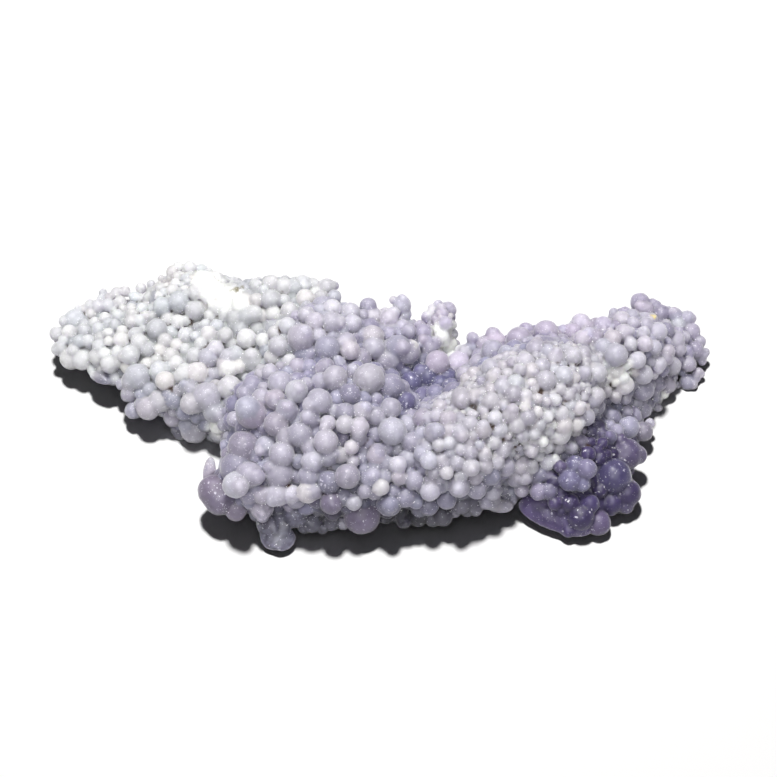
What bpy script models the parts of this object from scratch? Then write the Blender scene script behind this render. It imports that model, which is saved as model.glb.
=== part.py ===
"""Botryoidal chalcedony: one free-grown cluster of grape-like chalcedony spheres, cut off flat where it left its rock.

The cluster is one solid. A mass of overlapping rounded lobes gives its long, bent outline with the wing at the left,
the hollow in the middle, the ridge rising to the right end and the low lobe in front of it. Grapes of 1 to 7 mm sit on
that mass: the ones that show are set out one by one, and seeded ones cover the back, the ends and the underside.
+X runs along the piece from the wing to the ridge end, -Y faces the front, and the flat cut lies on Z = 0.
"""

import math

import bmesh
import bpy
import numpy as np
from mathutils import Matrix

NAME = "botryoidal_chalcedony"

# ---------------------------------------------------------------- driving dimensions, in mm
SIZE = 1.0               # everything is multiplied by this
FLOOR_Z = 0.0            # the flat cut that the piece rests on
SMALLEST_GRAPE = 1.45    # grapes with a smaller radius are left to the finish, and
SKIN = 0.35              # the mass is this much thicker in their place
VOXEL = 0.5              # size of the cells in which the grapes are fused
TRIANGLES = 9600         # after thinning, before the flat cut
CENTRING = (2.42, -0.19) # puts the middle of the box over the origin, mm
# ---------------------------------------------------------------- the view the piece is set out in
# The grapes are set out as they show from in front and above: across and down, in units of 0.2 mm
# on the plane through the middle of the piece, 450 mm from the eye and 55 degrees above the floor.
VIEW_UNIT = 0.2          # mm on the plane through the middle of the piece
VIEW_DISTANCE = 450.0    # mm
VIEW_HEIGHT = 55.0       # degrees above the floor
VIEW_MIDDLE = 388.5      # the middle of the view, in units across and down
VIEW_AIM = (0.0, 0.0, 12.0)

# ---------------------------------------------------------------- the mass that the grapes grow on
# name, across, down, height of the middle, half length, half width, half height, turn about Z (degrees)
BODY = [
    ("wing_tip", 95, 340, 5.9, 7.2, 5.0, 3.5, 0),
    ("wing_mid", 153, 338, 6.8, 13.2, 9.2, 4.8, 8),
    ("wing_back", 199, 306, 8.6, 10.5, 6.4, 6.0, 0),
    ("wing_back_right", 270, 314, 9.9, 11.5, 6.6, 7.0, 0),
    ("wing_middle", 236, 347, 8.2, 11.0, 8.5, 5.8, 0),
    ("wing_front", 207, 387, 5.8, 12.2, 9.0, 5.2, -18),
    ("wing_corner", 151, 391, 5.2, 5.4, 4.0, 3.4, -25),
    ("centre_back", 322, 352, 10.5, 13.2, 10.4, 9.6, 0),
    ("centre", 330, 425, 9.5, 20.5, 14.6, 11.2, -8),
    ("front_left", 257, 470, 7.6, 7.6, 8.4, 6.8, 0),
    ("front", 350, 472, 7.5, 20.0, 9.0, 8.2, 0),
    ("front_right", 440, 468, 8.2, 13.5, 7.6, 7.5, 8),
    ("saddle", 412, 395, 6.0, 13.5, 11.5, 7.2, 0),
    ("pillar", 442, 331, 10.5, 2.2, 4.0, 5.8, 0),
    ("back_notch", 390, 350, 9.8, 9.6, 6.8, 7.0, 0),
    ("ridge_low", 465, 442, 10.5, 14.5, 10.5, 10.2, 25),
    ("ridge_mid", 525, 405, 12.5, 17.5, 11.5, 11.7, 32),
    ("ridge_back", 548, 359, 9.4, 16.0, 5.2, 7.2, 9),
    ("ridge_high", 597, 374, 6.8, 16.5, 8.9, 11.4, 28),
    ("ridge_end", 648, 348, 2.8, 8.6, 7.8, 5.6, 0),
    ("ridge_chips", 678, 351, 2.0, 3.6, 5.0, 3.7, 0),
    ("lobe", 606, 482, 2.2, 5.2, 6.8, 3.7, 25),
    ("lobe_front", 577, 499, 2.8, 7.8, 5.6, 4.0, 15),
    ("lobe_root", 560, 455, 5.5, 14.0, 9.0, 6.2, 10),
    ("lobe_neck", 610, 426, 2.7, 5.6, 6.2, 5.1, 20),
]

# ---------------------------------------------------------------- the grapes that show
# across, down, radius, and how far the middle stands off the mass, in radii (N where it is left out)
U, N, T, TT = 0.1, 0.55, 0.9, 1.2
WING = [
    (56.7, 333.8, 6.5), (69.2, 331.7, 6.5), (75, 320, 10, U), (62, 347.5, 7), (74, 350, 6), (88.3, 341, 6),
    (94.5, 321, 4), (98.5, 328.5, 5.5), (105, 317.5, 5), (114.7, 325, 5.5), (108.3, 333, 5), (108.8, 341, 4.4, TT),
    (121, 339.5, 7.2), (99.5, 346, 6.5), (130, 354.7, 9, T), (131.5, 308.5, 5), (141.8, 308.5, 5.2), (132.5, 315, 6),
    (131.7, 321.5, 6.5), (139, 321, 6), (145, 316.5, 5.5), (152, 316, 4.5), (149.6, 298.4, 6.4), (162, 306.5, 8.5),
    (156.6, 328.6, 9.4), (136, 334.5, 7), (139.3, 342, 7.8, T), (147, 348.5, 7.4), (120.5, 302.5, 6), (134.5, 297, 5),
    (141, 298.5, 4.5), (116.5, 293, 5.5), (125, 291.5, 5), (108, 305, 6), (98, 306, 6), (90, 305, 5), (85, 308, 4),
    (117.5, 314.5, 5), (122.5, 308, 3.5), (151, 284, 4), (161.5, 288, 5), (165, 292.5, 4.5), (172.5, 290, 5.5),
    (166.5, 281, 4.5), (172.5, 272, 6), (161.5, 279, 3.5), (103, 293, 4), (78.5, 310, 4), (141, 288, 5), (151, 291, 4.5),
    (71, 358.5, 10), (83, 359.5, 9.8), (57.5, 349, 6), (96.7, 356.7, 7.5), (93.5, 370, 5.5, U), (104, 371.5, 7),
    (110, 364, 8.5), (113.3, 378, 7), (121.7, 384.5, 5.5), (127, 367.5, 5.8, TT), (137.5, 376.5, 11.6, T),
    (147.5, 363.3, 6), (156.7, 360.8, 6), (160, 371.5, 9.5), (165, 380.8, 8.8, TT), (170.8, 356.7, 8),
    (129, 393.3, 7.5), (148.3, 389, 6.5, U), (141, 394, 6, U), (133.3, 410.5, 8), (148.3, 408.3, 10.8, T),
    (160, 401, 10.3), (174, 399, 9, U), (173, 417.5, 8.8), (118, 352, 6), (105, 354, 6), (84, 330, 6), (64, 321, 5),
    (91, 313, 5), (113, 310, 4), (143, 329, 4), (168, 320, 7, U), (165, 341, 7), (171, 332, 6, U), (160, 350, 6),
    (110, 297, 4), (101, 299, 4), (146, 305, 4), (152, 308, 4), (122, 331, 5), (64, 340, 5), (80, 341, 6),
    (119, 362, 6), (101, 364, 6, U),
]
WING_BACK = [
    (178.3, 266.5, 4.5), (189.6, 267.5, 6), (182.5, 279, 3.2), (181.7, 285, 3.6), (179.2, 301.7, 9.5, U), (195, 310, 9, U),
    (210, 315.8, 5.6, T), (178.3, 321.7, 6.6, T), (185.5, 321, 5, T), (185.8, 335, 7.2), (195, 335.8, 4.6),
    (185, 349, 5.2, T), (201.2, 343.3, 6.2), (208.3, 333.3, 7), (216.7, 325.8, 6, U), (225.4, 335, 7.2, T),
    (215.4, 348.5, 7.6), (231, 343, 5, U), (246.7, 338.3, 9), (254, 313.3, 7.6), (256.7, 300, 6.6), (270.8, 299.5, 9),
    (273.3, 313.3, 7), (263, 315, 6, U), (255.8, 284.5, 5.6), (271, 283.5, 8), (284, 286, 7.5), (293, 287, 7),
    (284, 300.5, 6), (289, 310, 7.6), (287.5, 325.8, 8, T), (281, 325, 5), (274.6, 332.5, 6.5), (262.9, 340, 6.6, T),
    (278.3, 345.5, 9.2), (285.8, 336, 5, U), (236, 318, 8.6), (246, 316, 8), (226, 315, 7), (193, 324, 4, U),
    (205, 324, 5, U), (176, 345, 6), (176.7, 363.3, 7), (185, 373, 9), (197, 373, 10), (195, 355.8, 8), (208.5, 357.3, 9),
    (228.3, 357.5, 8.5), (235, 354, 7.6), (228.3, 368.3, 9, T), (239, 366.5, 6.6, TT), (245, 376, 5.6), (219, 372.5, 5.6),
    (230, 387.5, 11, T), (252, 360, 10.9), (260, 374, 5.4, U), (269.6, 371.7, 7.6, TT), (280, 383, 11.2),
    (271.7, 357, 7.2), (206.7, 396.7, 13), (190, 389, 9), (190.4, 404, 9.6, T), (214, 411.7, 10), (225, 405.8, 6, U),
    (241, 404, 5), (252, 385, 9, U), (245, 393, 8, U), (263.3, 387.5, 5.2), (261.7, 398, 9), (275, 399, 9),
    (287, 410, 10), (251, 413.5, 13.6, T), (276, 424, 11.2), (234, 419, 7), (243, 446.5, 14.2), (266, 446, 9.4),
    (287, 438, 10), (194, 430, 12.3), (182.5, 435.5, 10.2), (221.7, 437, 12.2), (217.5, 427, 7, T), (211, 340, 4, U),
    (212, 374, 6, U), (224, 392, 5, U), (179, 391, 6), (169, 368, 6, U), (290, 361, 7), (288, 372, 6, U), (240, 329, 7, U),
    (257, 327, 6, U), (268, 324, 6, U), (216, 386, 6), (264, 290, 5),
]
CENTRE = [
    (303, 284, 8.6), (312.9, 284.3, 6.2), (326.7, 288, 9.2), (334.5, 286, 4.6), (334.3, 297, 7), (316.3, 295, 8.1, T),
    (305, 298, 8.6, T), (306.7, 315, 8.3, T), (315, 321.5, 9.2), (297, 326, 4.6), (332.5, 308, 8.7), (331.7, 322, 10.2),
    (350.4, 312, 9.2), (352.5, 323.3, 8.7), (368.3, 306, 8.1), (362.5, 314.5, 5.2), (372.5, 318.3, 10.6), (389, 318, 8.9),
    (402, 305, 8.8), (405, 314, 6.2), (409, 331, 7), (420, 326, 5.8), (423.3, 335.8, 4.6), (372.5, 336.7, 11.1),
    (374, 347.5, 10.3, T), (350, 350, 9.4, T), (346.7, 341.7, 9.2), (327.5, 348, 12), (301, 337, 13), (318, 336, 8, U),
    (389, 334, 7.2, U), (398.3, 347, 11.6), (411.7, 346.5, 6.4, TT), (388.3, 346, 6.4), (390, 359, 10.2), (408, 352, 11.6),
    (385, 362, 12), (397, 364, 8), (361.7, 358, 9.6), (369, 378.5, 14.6, T), (355, 374, 8.6), (335, 377.5, 11.8, T),
    (325.8, 366, 8.3), (320.8, 381, 8.6), (340, 363, 5.8), (296.7, 391, 10.9, T), (305.8, 384, 6.8), (319, 401.5, 12.4, T),
    (310.8, 418, 10), (350, 394, 10.2), (336.7, 398.3, 8, U), (363, 399, 8, U), (345, 413, 10), (362, 412, 10),
    (376, 416, 9.2), (390.8, 408, 10.1, T), (392.5, 431, 13.4, T), (376.7, 434, 7.4, U), (345, 424.5, 8.8, TT),
    (328, 423, 7.6, T), (359, 427.5, 9.9, T), (358.5, 438, 8), (326, 441.5, 11.8, T), (300, 434, 12), (309, 446, 8.6),
    (351.5, 447.5, 7.2, T), (353, 461.5, 6.1, T), (377, 452, 8.6), (391, 386, 12), (406, 372, 5.6, U), (420, 371, 6.8),
    (411, 382, 10, U), (425, 398, 11.2), (406, 401, 9.4, U), (422.5, 418, 9.2), (407.5, 425, 10), (411.7, 442, 9.6),
    (422, 434, 7), (309, 367, 8, U), (303, 353, 9, U), (297, 366, 8), (340, 390, 7, U), (334, 411, 7), (376, 398, 6, U),
    (310, 353, 8, U), (343, 438, 6, U), (367, 444, 7, U), (386, 449, 7), (397, 450, 7), (290, 398, 6, U), (378, 373, 7),
    (363, 335, 7, U), (342, 330, 7, U), (393, 300, 4), (320, 310, 6, U), (296, 302, 5, U), (296, 316, 6, U),
    (428, 377, 9, U), (424, 408, 6, U), (400, 392, 6, U), (434, 369, 7, U),
]
PILLAR = [
    (424, 332, 8), (427.5, 317, 6.4), (426, 341, 7), (432.8, 309, 5), (447.6, 310.4, 8.4), (438.3, 304.5, 4.6), (435.8, 319, 5.2), (445.8, 323.3, 6.8), (452.4, 325, 4.6),
    (432.5, 328, 7), (442, 336, 7.2), (450, 344, 6.8), (456, 344.5, 4.4), (430, 347, 9), (437.5, 362.5, 11.6, TT),
    (458.3, 363.3, 11.2, TT), (446, 352, 7, U), (447, 377, 9, U), (440, 384, 9, U), (452, 387, 7, U), (428, 359, 8, U),
    (453, 334, 5, U), (462, 372, 8, U),
]
RIDGE_BACK = [
    (472.5, 338.2, 6.1), (472.5, 345.5, 6.3), (465, 352, 7.8), (485, 343.5, 8.2, T), (495, 341, 9.8, T), (519, 339.5, 12.2, T),
    (526, 331, 8.2), (546, 332.3, 11.7, T), (536, 349, 9.2), (506, 353, 7.8), (548.3, 352.5, 8.2), (524, 357, 6, T),
    (563, 331, 6.2), (580.8, 323, 9.4, T), (572.5, 332, 8.2), (562.5, 340, 5.9, T), (572.5, 342.5, 5.2), (567.5, 350.5, 7, T),
    (582.5, 338.5, 8.4, T), (594, 336.5, 8.3), (586, 329.5, 3.2, T), (592, 328, 3.2, T), (593, 345.5, 5.4, U), (583, 354, 8),
    (573, 356, 8.8, T), (595.8, 325, 7.2), (603.5, 325, 8.5), (615, 318, 7.2), (615, 326, 6.2, U), (621.7, 319.5, 8.2, T),
    (625, 312.5, 5.8), (631.5, 314, 4.8), (640, 302.5, 9.2), (644, 309.5, 8.5, T), (655, 306.5, 6.3), (660.8, 313.5, 8.6),
    (675, 315, 7.1), (633.3, 323.5, 6.3), (645.8, 325, 7.6), (624, 332.5, 8.3, T), (612.5, 338.3, 8.2, T),
    (603.3, 347, 8.6), (616, 355, 11.2, T), (630.8, 344, 6.4, TT), (643.3, 333.3, 6.7, T), (645, 344, 7.8, TT),
    (657.5, 332, 9.5), (654, 347, 7.2), (480, 356, 8), (492, 353, 6), (515, 352, 5), (604, 336, 5, U), (638, 317, 6, U),
    (556, 342, 5, U), (652, 317, 4, U), (635, 333, 5, U),
]
RIDGE = [
    (592.5, 361.7, 7.4), (585, 361.7, 5.6), (598, 359, 6.2), (555, 357, 8.6), (597, 373, 9.6, T), (603.5, 365, 5.4),
    (612, 364, 7), (637.5, 360, 8.4, T), (625.4, 365.4, 5.3, TT), (615.8, 371.7, 6.3, T), (608.3, 369.5, 5.6),
    (624.5, 385, 9.3), (615.8, 381.5, 5.3, TT), (609, 377.5, 4.4, T), (623, 377.5, 6.2, TT), (616.5, 375.5, 4.2, TT),
    (629.6, 372.8, 2.4, TT), (606, 381.5, 4.2), (615.4, 395.4, 5.9, TT), (625.8, 398.3, 5.1, T), (605, 391, 6.8),
    (596.7, 395, 7.8, T), (587.5, 390.8, 4.1, TT), (581.7, 386, 3.9, T), (575.8, 388.5, 5.3, T), (575.8, 397, 4.5, TT),
    (568.3, 394, 7.1), (583.3, 397, 5.2), (591.7, 401, 6.6), (564, 375, 8.8, T), (555, 371, 6.2), (552.5, 366.5, 4.1, T),
    (554.6, 382.5, 4.6, T), (575, 378, 5.2, T), (583.3, 374, 7.8), (560, 389, 6.4), (555.8, 400, 5.9, TT), (541.7, 366, 8.2),
    (545.8, 380.5, 9.8), (537.5, 377, 4.6, T), (530.8, 371, 8.1), (531.7, 382.5, 4.3, TT), (515.8, 383, 8.4),
    (525, 362, 9.3), (513.3, 362.5, 7.3), (520, 370, 6.6, T), (507.5, 374, 5.8), (503.3, 366.7, 6.2), (491, 368, 9.3),
    (493.3, 376.5, 7.3, T), (491, 361.7, 3.8, T), (483.3, 382.5, 7.2, U), (474, 373.5, 6.9, TT), (467, 379.5, 6.9, TT),
    (475.8, 387, 4.4, T), (491.7, 389.5, 6.6), (461.7, 398.3, 10.7, T), (475, 396, 7.6, T), (483.3, 393.5, 6.2),
    (503, 387, 8.6), (513.3, 394, 9.1), (525, 396.5, 7.6), (509, 399, 5.3), (518, 402.5, 5.1), (525, 406.5, 5.8, T),
    (531, 404, 5.1), (537.5, 398.5, 5.4, T), (545, 400.5, 6.3), (490.8, 401, 8.6), (484, 402.5, 5.6), (495, 418, 7.4, T),
    (486.7, 417.5, 5.3, T), (484, 409, 6.2), (483.3, 430, 8.3, T), (470, 424, 8.3), (471.7, 415, 5.6), (459, 420, 7.2),
    (439.5, 406.5, 6.9, TT), (445.8, 397.5, 5.7), (429, 417.5, 6.2, T), (437.5, 416, 7.2, T), (448.3, 419, 8.6, T),
    (434, 432.5, 9.8, T), (447.5, 431.5, 8.6), (459, 432, 9.3), (439, 445, 6.6, TT), (449, 443, 6.1, TT),
    (427.5, 446.5, 6.8), (499, 430, 8.6), (517, 425, 8.1), (511, 414, 8.1), (528, 417, 8.4), (537.5, 413, 5.4, T),
    (548, 416.5, 6.1, T), (543.4, 441.6, 5.3, TT), (522.5, 435, 6.5), (534, 433, 6.6), (468, 443, 8.2, U),
    (507.5, 444, 6.4), (494, 441.7, 7.6), (506, 436, 5), (472, 436, 6), (553.3, 425.8, 3.2, TT), (560.8, 413, 7.4),
    (568.5, 414.5, 6.2), (570, 404, 6), (578.3, 407.7, 7.3, T), (585.8, 406.7, 4, TT), (585.8, 416.7, 8.9), (592, 425, 5),
    (564, 425.5, 8.4, T), (576, 424.5, 7.4, T), (576.7, 431, 4.8, T), (583.8, 431, 3.9, TT), (560.8, 435, 9.3),
    (580.8, 441.5, 6.8), (590.4, 441.7, 5.2), (571, 447.7, 7), (558.3, 445.5, 7.8), (484, 421, 4, U), (504, 405, 6),
    (552, 393, 5), (562, 365, 5), (545, 408, 4), (540, 424, 6), (549, 431, 5), (553, 411, 5), (556, 420, 4, U),
    (572, 369, 4), (590, 383, 5, U), (597, 384, 5, U), (535, 388, 5), (527, 387, 4), (500, 376, 5, U), (501, 396, 5),
    (538, 444, 5), (548, 447, 6), (530, 440, 4), (515, 442, 4), (483, 440, 5), (455, 409, 6, U), (466, 407, 5, U),
    (495, 408, 5), (503, 421, 5), (511, 429, 5), (533, 424, 5), (523, 426, 4), (543, 432, 4, U), (568, 384, 4),
    (535, 357, 5), (543, 357, 4), (592, 412, 5), (535, 405, 4), (480, 388, 4), (455, 441, 6), (480, 446, 6),
]
RIDGE_END = [
    (675, 340, 9.4), (683.5, 337, 6.2), (679.5, 349.5, 6.5, T), (667.5, 351.5, 7.2, T), (666, 358, 7.4), (678, 324, 7.4),
    (687, 317, 6.6), (677.5, 332, 5.2), (691.5, 332, 8.6), (699.5, 342, 6.2), (695, 350, 8.4), (705.5, 352.5, 4.4),
    (687, 351, 6, U), (688, 364, 7.9), (695, 357.5, 4.4), (702.3, 354.5, 5.6), (702, 361, 4.2, U), (698, 373, 5.2, T),
    (695, 378, 5.6), (688, 382.5, 8.1), (680.8, 393.5, 5.8), (671.7, 366, 9.1), (670.8, 377, 6.6), (667.5, 385, 8, T),
    (659, 364, 7.4, T), (656.5, 383, 7.2), (654, 390.5, 5.6), (643, 390, 10.5), (643, 374.5, 9.5), (654, 375, 4.2, T),
    (635, 403, 7.6), (627.5, 411, 5.3, T), (643, 409.5, 8.4), (617, 408, 6.2, U), (654, 415, 6.8), (658, 408, 4, T),
    (655, 398, 4.4, U), (647, 401.5, 4.4, U), (596.7, 407, 8, U), (607.5, 410, 5.8), (611.7, 417, 9, U), (601, 417, 8, U),
    (598, 427, 8, U), (610, 425, 5.4, U), (682, 371, 5, U), (664, 394, 5, U), (650, 362, 5, U), (655, 356, 5, U),
    (666, 324, 5), (668, 333, 4), (651, 385, 5), (635, 372, 5), (633, 385, 5, U), (629, 392, 5, U), (620, 402, 5, U),
    (668, 310, 4), (679, 359, 5, U), (676, 385, 4, U), (643, 399, 5), (649, 405, 5, U), (628, 402, 5, U),
]
FRONT = [
    (312.5, 461, 10.6, T), (309, 476, 10.6), (307.5, 492.5, 10.3, T), (296, 499, 9.2), (328.5, 482, 11.2), (331.5, 503, 11, T),
    (328, 456, 10), (340, 455, 8.2), (347.5, 476.3, 12.1, T), (363, 458, 8, U), (366, 470, 7.2, U), (371, 478, 9.2),
    (376.7, 456, 9.2, T), (375, 467, 7.6), (385.5, 462.7, 7.4, T), (397.5, 465, 8.7, TT), (399, 477.5, 7.5, T),
    (380.8, 487.3, 8.1, TT), (374.5, 492, 7.8), (364.6, 491.7, 6.9, TT), (354, 502.3, 7.9, TT), (344, 497, 8.2),
    (362, 516, 17.4), (389, 504, 12), (405, 497, 10.2), (414, 480.5, 9.4), (407.5, 459, 9.4), (383.5, 477, 8.2),
    (414, 499, 8.2), (420, 507.5, 8.8), (429, 460.5, 8.6, T), (422.5, 453.5, 8.3), (441.7, 460, 7.2), (440, 467.5, 6.4),
    (434, 473, 6.3, T), (446.7, 472.5, 6.8, TT), (456.7, 463, 7.8), (471, 467.5, 8.8, T), (485, 455.5, 6.8, T),
    (485, 464.5, 7, T), (470, 453, 7.6), (461, 449, 6.6), (461.7, 475, 6.4, T), (459, 486.5, 10.4, T), (448, 484, 6.4),
    (430, 491.5, 9.4, T), (436.5, 487, 7.6), (431, 481, 7.2), (429, 506, 9.6), (446.7, 500, 9.2), (461, 504, 9.8),
    (471.7, 502, 7), (476, 510.5, 5.7), (486, 502.5, 6.8), (475, 477, 7.4), (476.7, 489, 9.7, T), (491, 475, 10),
    (492.5, 491.5, 8.3, T), (503, 491, 7.4), (511, 493, 6.4), (506, 466.7, 9.3), (514, 471.5, 7.3, T), (521, 464.5, 8.8, T),
    (531.7, 466.7, 6.8, TT), (515.8, 478.5, 8.8), (525, 477.5, 7.3, T), (521.7, 490, 7.1, T), (527.5, 497, 4.8),
    (502.5, 450, 8.3), (497, 462, 7.4), (531, 449.5, 7.4), (538, 455.5, 5.8, T), (539, 473, 9, U), (547.5, 461.7, 7.9),
    (520, 451, 4.6, U), (509, 458, 3.2, T), (555, 458.8, 5.1, TT), (560, 466.7, 6.4, T), (548, 475, 6, U), (394, 491, 7),
    (408, 470, 7, U), (423, 469, 6, U), (450, 492, 6, U), (449, 460, 5), (478, 500, 5), (495, 500, 6), (504, 500, 6),
    (338, 490, 7, U), (318, 489, 7, U), (300, 461, 8), (298, 476, 7, U), (320, 470, 7, U), (387, 472, 6, U),
    (440, 478, 6), (421, 487, 6), (360, 480, 6, U), (363, 448, 6, U), (356, 487, 7, U), (534, 478, 6, U),
    (512, 500, 5), (534, 461, 5), (450, 452, 6), (484, 483, 6), (497, 483, 5), (507, 481, 5),
]
FRONT_LEFT = [
    (255, 457, 6.6, U), (237, 468, 16.4, U), (249, 475, 12.6), (263, 469, 8, U), (235.4, 485, 12.4, TT), (250, 493, 10.8, U),
    (262, 494.5, 8.8), (277.5, 494, 11.7, T), (279, 473.5, 14), (281.7, 454, 12.2, T), (292.5, 494.3, 8.8, T),
    (214, 491, 15.5), (220, 499, 15.5), (236, 510, 10.6), (262, 508, 11.4), (277.5, 507, 8, U), (228, 455, 7, U),
    (250, 502, 7, U), (270, 462, 7, U), (290, 468, 6, U), (289, 505, 6, U),
]
LOBE = [
    (574.5, 465, 9.4), (570, 480, 10.8, T), (586.7, 469, 9.8, TT), (581.5, 483.3, 8.5, TT), (588, 454, 7.4), (600, 458, 6.6, U),
    (539, 491.7, 8.8, T), (549, 491, 8.4, T), (560, 493, 9.6, U), (626, 454, 15.4, U), (637, 455, 9.4), (613.5, 476.5, 17, N),
    (627, 493, 13.6, U), (625, 505, 8.6, U), (612, 503, 10, U), (580.8, 517, 13.2, U), (598, 523, 12.2), (629, 427, 10.2, T),
    (643, 431.5, 9.5, T), (617, 430.5, 6.6, T), (610, 437, 6.6), (602.5, 443, 5.6), (570, 503, 9, U), (590, 504, 9, U),
    (597, 451, 6, U), (606, 455, 6, U), (602, 434, 6, U), (591, 431, 6, U), (554, 481, 8, U), 
    (555, 503, 7), (600, 490, 8, U), (630, 441, 7), (621, 440, 6),
]
# grapes under the rim, close to the floor: across, down, radius, height of the middle
LOW_RIM = [
    (403.5, 520.5, 7.8, 2.8), (386, 517, 7.2, 2.8), (418, 517, 9.5, 3.0), (331.7, 522.5, 8.3, 2.8), (343, 523.5, 6.5, 2.4),
    (312.5, 524, 9, 2.8), (319, 508, 9, 4.4), (295, 515.5, 12.4, 4.2), (443, 517, 9.4, 3.4), (433, 519, 8, 2.6),
    (568, 530, 7.4, 2.2), (478, 506, 6.2, 4.0), (500, 504, 6, 3.6), (508, 503, 5, 3.4), (492, 505, 5.5, 3.6),
    (304, 527, 6.5, 2.0), (322, 528, 6.0, 2.0), (401, 511.5, 7, 4.4), (258, 513, 9, 3.6), (275, 516, 8, 3.0),
    (611, 509, 7, 2.6), (555, 520, 7, 2.6), (545, 513, 6, 2.8), (575, 524, 7, 2.4), (650, 423, 5, 4.0), (662, 404, 5, 4.4),
    (455, 512, 6, 3.4), (467, 511, 6, 3.4), (424, 513, 7, 3.8), (350, 513, 8, 3.8), (377, 508, 8, 4.4),
]

# the outline of the piece in the view, read by eye, clockwise from the wing tip: across, down
OUTLINE = [
    (50, 335), (55, 326), (64, 312), (80, 302), (100, 290), (117, 285), (147, 281), (165, 268), (175, 262), (190, 260), (202, 262),
    (215, 270), (230, 275), (252, 276), (272, 274), (302, 274), (327, 277), (338, 283), (341, 300), (352, 302), (360, 298),
    (368, 296), (380, 302), (392, 300), (402, 295), (411, 303), (411, 318), (417, 319), (427, 304), (440, 299), (452, 300),
    (457, 312), (457, 334), (461, 345), (467, 333), (478, 333), (495, 330), (508, 333), (524, 322), (534, 322), (546, 319),
    (558, 325), (571, 318), (581, 313), (590, 320), (604, 316), (612, 310), (625, 306), (631, 296), (640, 292), (651, 299),
    (665, 304), (675, 307), (690, 309), (694, 320), (700, 331), (707, 345), (712, 352), (708, 362), (703, 372), (703, 381),
    (690, 391), (684, 400), (676, 403), (664, 408), (660, 418), (655, 426), (650, 442), (648, 460), (641, 468), (634, 478),
    (641, 490), (641, 503), (632, 514), (620, 517), (609, 519), (611, 526), (605, 535), (593, 538), (582, 535), (560, 536),
    (545, 527), (520, 508), (500, 512), (470, 517), (452, 519), (446, 528), (430, 530), (412, 530), (400, 530), (382, 530),
    (375, 534), (362, 536), (348, 532), (320, 535), (298, 532), (290, 547), (277, 552), (266, 545), (256, 524), (246, 518),
    (236, 522), (220, 518), (207, 510), (198, 496), (198, 486), (204, 478), (209, 461), (219, 468), (220, 456), (217, 448),
    (205, 444), (190, 446), (178, 446), (170, 436), (171, 429), (160, 422), (145, 421), (130, 420), (124, 408), (116, 395),
    (104, 384), (90, 374), (70, 370), (60, 362), (52, 350),
]
# the foot that joins the lobes to the flat cut, set back under the overhanging rims:
# name, x, y, z of the middle, half length, half width, half height (mm), turn about Z (degrees)
FOOT = [
    ("foot_wing", -34.0, 3.5, 1.0, 12.5, 6.5, 6.5, 8),
    ("foot_centre", -10.0, -3.5, 0.0, 22.0, 15.0, 10.5, -6),
    ("foot_saddle", 9.0, -3.0, 0.0, 15.0, 9.0, 8.0, 8),
    ("foot_ridge", 31.5, 0.5, 0.0, 18.0, 8.0, 10.0, 24),
    ("foot_lobe", 38.0, -12.0, 0.0, 9.0, 7.0, 5.0, 20),
    ("foot_end", 49.0, 7.0, 0.5, 8.0, 6.5, 7.5, 10),
]

# thin broken chips, each a disc pressed flat: across, down, height of the middle, half length, half width,
# half thickness (mm), turn about Z, lean towards the front (degrees)
CHIPS = [
    ("chip_front", 275.0, 531.5, 3.0, 3.1, 3.7, 0.95, -14, 28),
    ("chip_front_edge", 282.0, 538.5, 2.3, 2.7, 2.5, 0.8, 22, 16),
    ("chip_front_top", 267.0, 526.0, 3.8, 2.4, 2.0, 0.8, -35, 38),
    ("chip_point", 209.5, 473.0, 6.2, 1.3, 3.3, 0.7, -8, 44),
    ("chip_lobe", 597.5, 497.0, 4.6, 1.6, 1.5, 0.9, 20, 30),
    ("chip_end", 667.5, 400.0, 6.4, 1.9, 1.5, 0.9, 10, 25),
    ("leaf_lobe", 553.0, 516.0, 3.4, 7.4, 2.7, 1.0, -24, 36),
    ("leaf_lobe_low", 570.0, 525.0, 2.6, 4.4, 2.2, 1.0, -16, 26),
    ("lens_front", 500.5, 506.0, 4.2, 2.6, 1.4, 1.1, 0, 20),
    ("rim_wing", 100.0, 378.0, 6.4, 2.6, 1.1, 0.8, -28, 25),
]
# the broken face at the top of the wing's back: flat scales on the mass, facing up and forward:
# across, down, half length, half width (mm), turn about Z, lean towards the front (degrees)
BROKEN_FACE = [
    (204, 281, 2.9, 2.2, -20, 30), (214, 293, 3.0, 2.6, 10, 20), (229, 298, 3.2, 2.4, -25, 28), (243, 303, 2.4, 2.2, 15, 22),
    (221, 308, 2.8, 1.6, -8, 36), (199, 290, 2.2, 1.9, 25, 24), (236, 312, 2.6, 1.5, -12, 38), (212, 278, 2.6, 1.5, 8, 14),
    (233, 291, 2.4, 1.6, -30, 16), (443, 341, 1.5, 1.3, 0, 48), (434, 313, 1.2, 1.6, 20, 40),
]


# rounds of seeded grapes: radius (mm), how far the middle stands off the mass (radii), how near two may be (of touching)
COVER = [(2.15, 0.42, 0.80), (1.50, 0.30, 0.74), (1.0, 0.0, 0.70), (0.72, -0.25, 0.62)]
# the same on the side that is set out grape by grape: low swells, and small grapes only along the crest
COVER_SEEN = [-0.30, -0.30, 0.50, 0.95]
CREST = (6.0, 46.0, 14.5)   # from x to x, above z
SUGARY = (-48.0, -30.0, 21.0)   # the fine crust at the back of the wing: from x to x, beyond y
STANDS = (0.05, 0.68, 1.12, 1.45)   # how far U, N, T and TT stand out where the grapes grow on short stems, radii
ON_STEMS = (2, 4, 5, 7, 8)          # the centre, the ridge and its back, the front and its left end
FULLER = 1.05            # what the fillets between grapes take from each is given back
FULLER_WING = 1.10       # on the wing they swell into each other


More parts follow.
